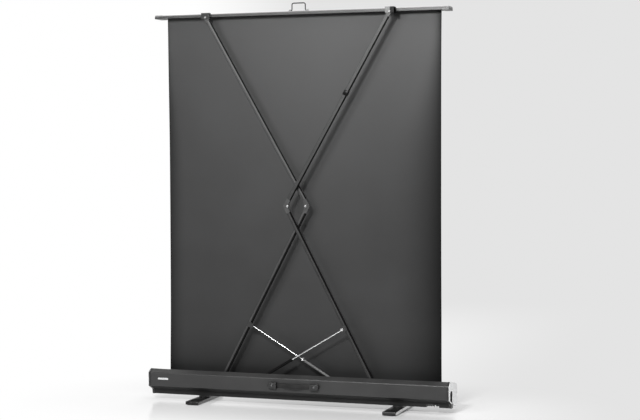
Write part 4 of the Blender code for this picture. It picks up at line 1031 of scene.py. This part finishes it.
def makeFloor(look=studioFloor):  # glossy by the case, running out into the backdrop
    values = {"Base Color": tint(look["tone"]), "Roughness": look["rough"]}
    material, tree, shader = finishLook("paleGlossFloor", values)
    spot = tree.place()
    along, deep = (tree.axis(spot, letter) for letter in "XY")
    past = (abs(along) - look["under"]).maths("MAXIMUM", 0.0)
    reach = (past * past + deep * deep).maths("SQRT")
    apart = tree.spread(reach, 0.0, 1.0, *look["blend"])
    tone = tree.spread(along, backdrop["left"], backdrop["right"], *look["fade"]) * (1 - apart)
    tone = tone + backdropTone(tree, tree.make("VectorMath", {"operation": "NORMALIZE"}, [spot])) * apart
    glow = tree.make("Emission", {}, {"Color": tone, "Strength": 1.0})
    close = tree.spread(along, *look["glow"], *look["glowAt"])
    close = close * (1 - tree.make("LightPath", out="Is Glossy Ray"))  # reflections keep the shade
    share = tree.spread(reach, close, 1.0, look["near"], look["far"]) * seenShare(tree)
    tree.showMix(share, Sock(tree, shader.outputs[0]), glow)
    mesh = bmesh.new()
    bmesh.ops.create_circle(mesh, cap_ends=True, segments=look["segments"], radius=look["radius"])
    data = bpy.data.meshes.new("studioFloor")
    mesh.to_mesh(data)
    mesh.free()
    data.materials.append(material)
    floor = bpy.data.objects.new("studioFloor", data)
    bpy.context.scene.collection.objects.link(floor)
    print("floor laid")


lamps = {  # place, target, width and height, watts
    "keyPanel": ((0.20, -4.2, 2.78), (0.1, 0.0, 1.2), (0.7, 0.6), 186),
    "sheenPanel": ((-1.6, -4.2, 2.66), (0.1, 0.0, 1.2), (1.8, 1.2), 57),
    "topPanel": ((1.0, -1.3, 3.3), (0.5, 0.0, 0.3), (2.0, 1.2), 38),
    "rightPanel": ((3.6, 1.5, 1.5), (0.6, 0.0, 0.2), (1.6, 2.0), 36),
    "frontPanel": ((0.3, 3.2, 3.8), (0.0, 0.0, 1.2), (2.4, 1.2), 52),
}


def makeLamps():
    for name, (spot, target, size, watts) in lamps.items():
        lamp = bpy.data.lights.new(name, "AREA")
        lamp.shape = "RECTANGLE"
        lamp.size, lamp.size_y = size
        lamp.energy = watts
        item = bpy.data.objects.new(name, lamp)
        item.location = spot
        item.rotation_euler = (Vector(target) - Vector(spot)).to_track_quat("-Z", "Y").to_euler()
        bpy.context.scene.collection.objects.link(item)
    bpy.context.scene.view_settings.view_transform = "Standard"
    print("studio lit")


camera = {
    "spot": (2.2805, -6.4227, 1.1431), "yaw": 18.749, "pitch": 2.324, "roll": -0.209,
    "focal": 1547, "width": 640, "sensor": 36, "reach": 200,  # focal length and picture width in pixels
}


def makeCamera(look=camera):
    data = bpy.data.cameras.new("photoCamera")
    data.sensor_fit = "HORIZONTAL"
    data.sensor_width = look["sensor"]
    data.lens = look["focal"] / look["width"] * look["sensor"]
    data.clip_end = look["reach"]
    item = bpy.data.objects.new("photoCamera", data)
    turn = Matrix.Rotation(math.radians(look["yaw"]), 4, "Z")
    turn = turn @ Matrix.Rotation(math.radians(90 - look["pitch"]), 4, "X")
    turn = turn @ Matrix.Rotation(math.radians(look["roll"]), 4, "Z")
    item.matrix_world = Matrix.Translation(look["spot"]) @ turn
    bpy.context.scene.collection.objects.link(item)
    bpy.context.scene.camera = item
    print("camera at the photo's place")


makeCamera()
dressSolids()
makeScreen()
makeRoll()
makeGrip()
makeFeet()
makeScrews()
makeBadge()
makeClip()
makeSeals()
makeRoom()
makeFloor()
makeLamps()
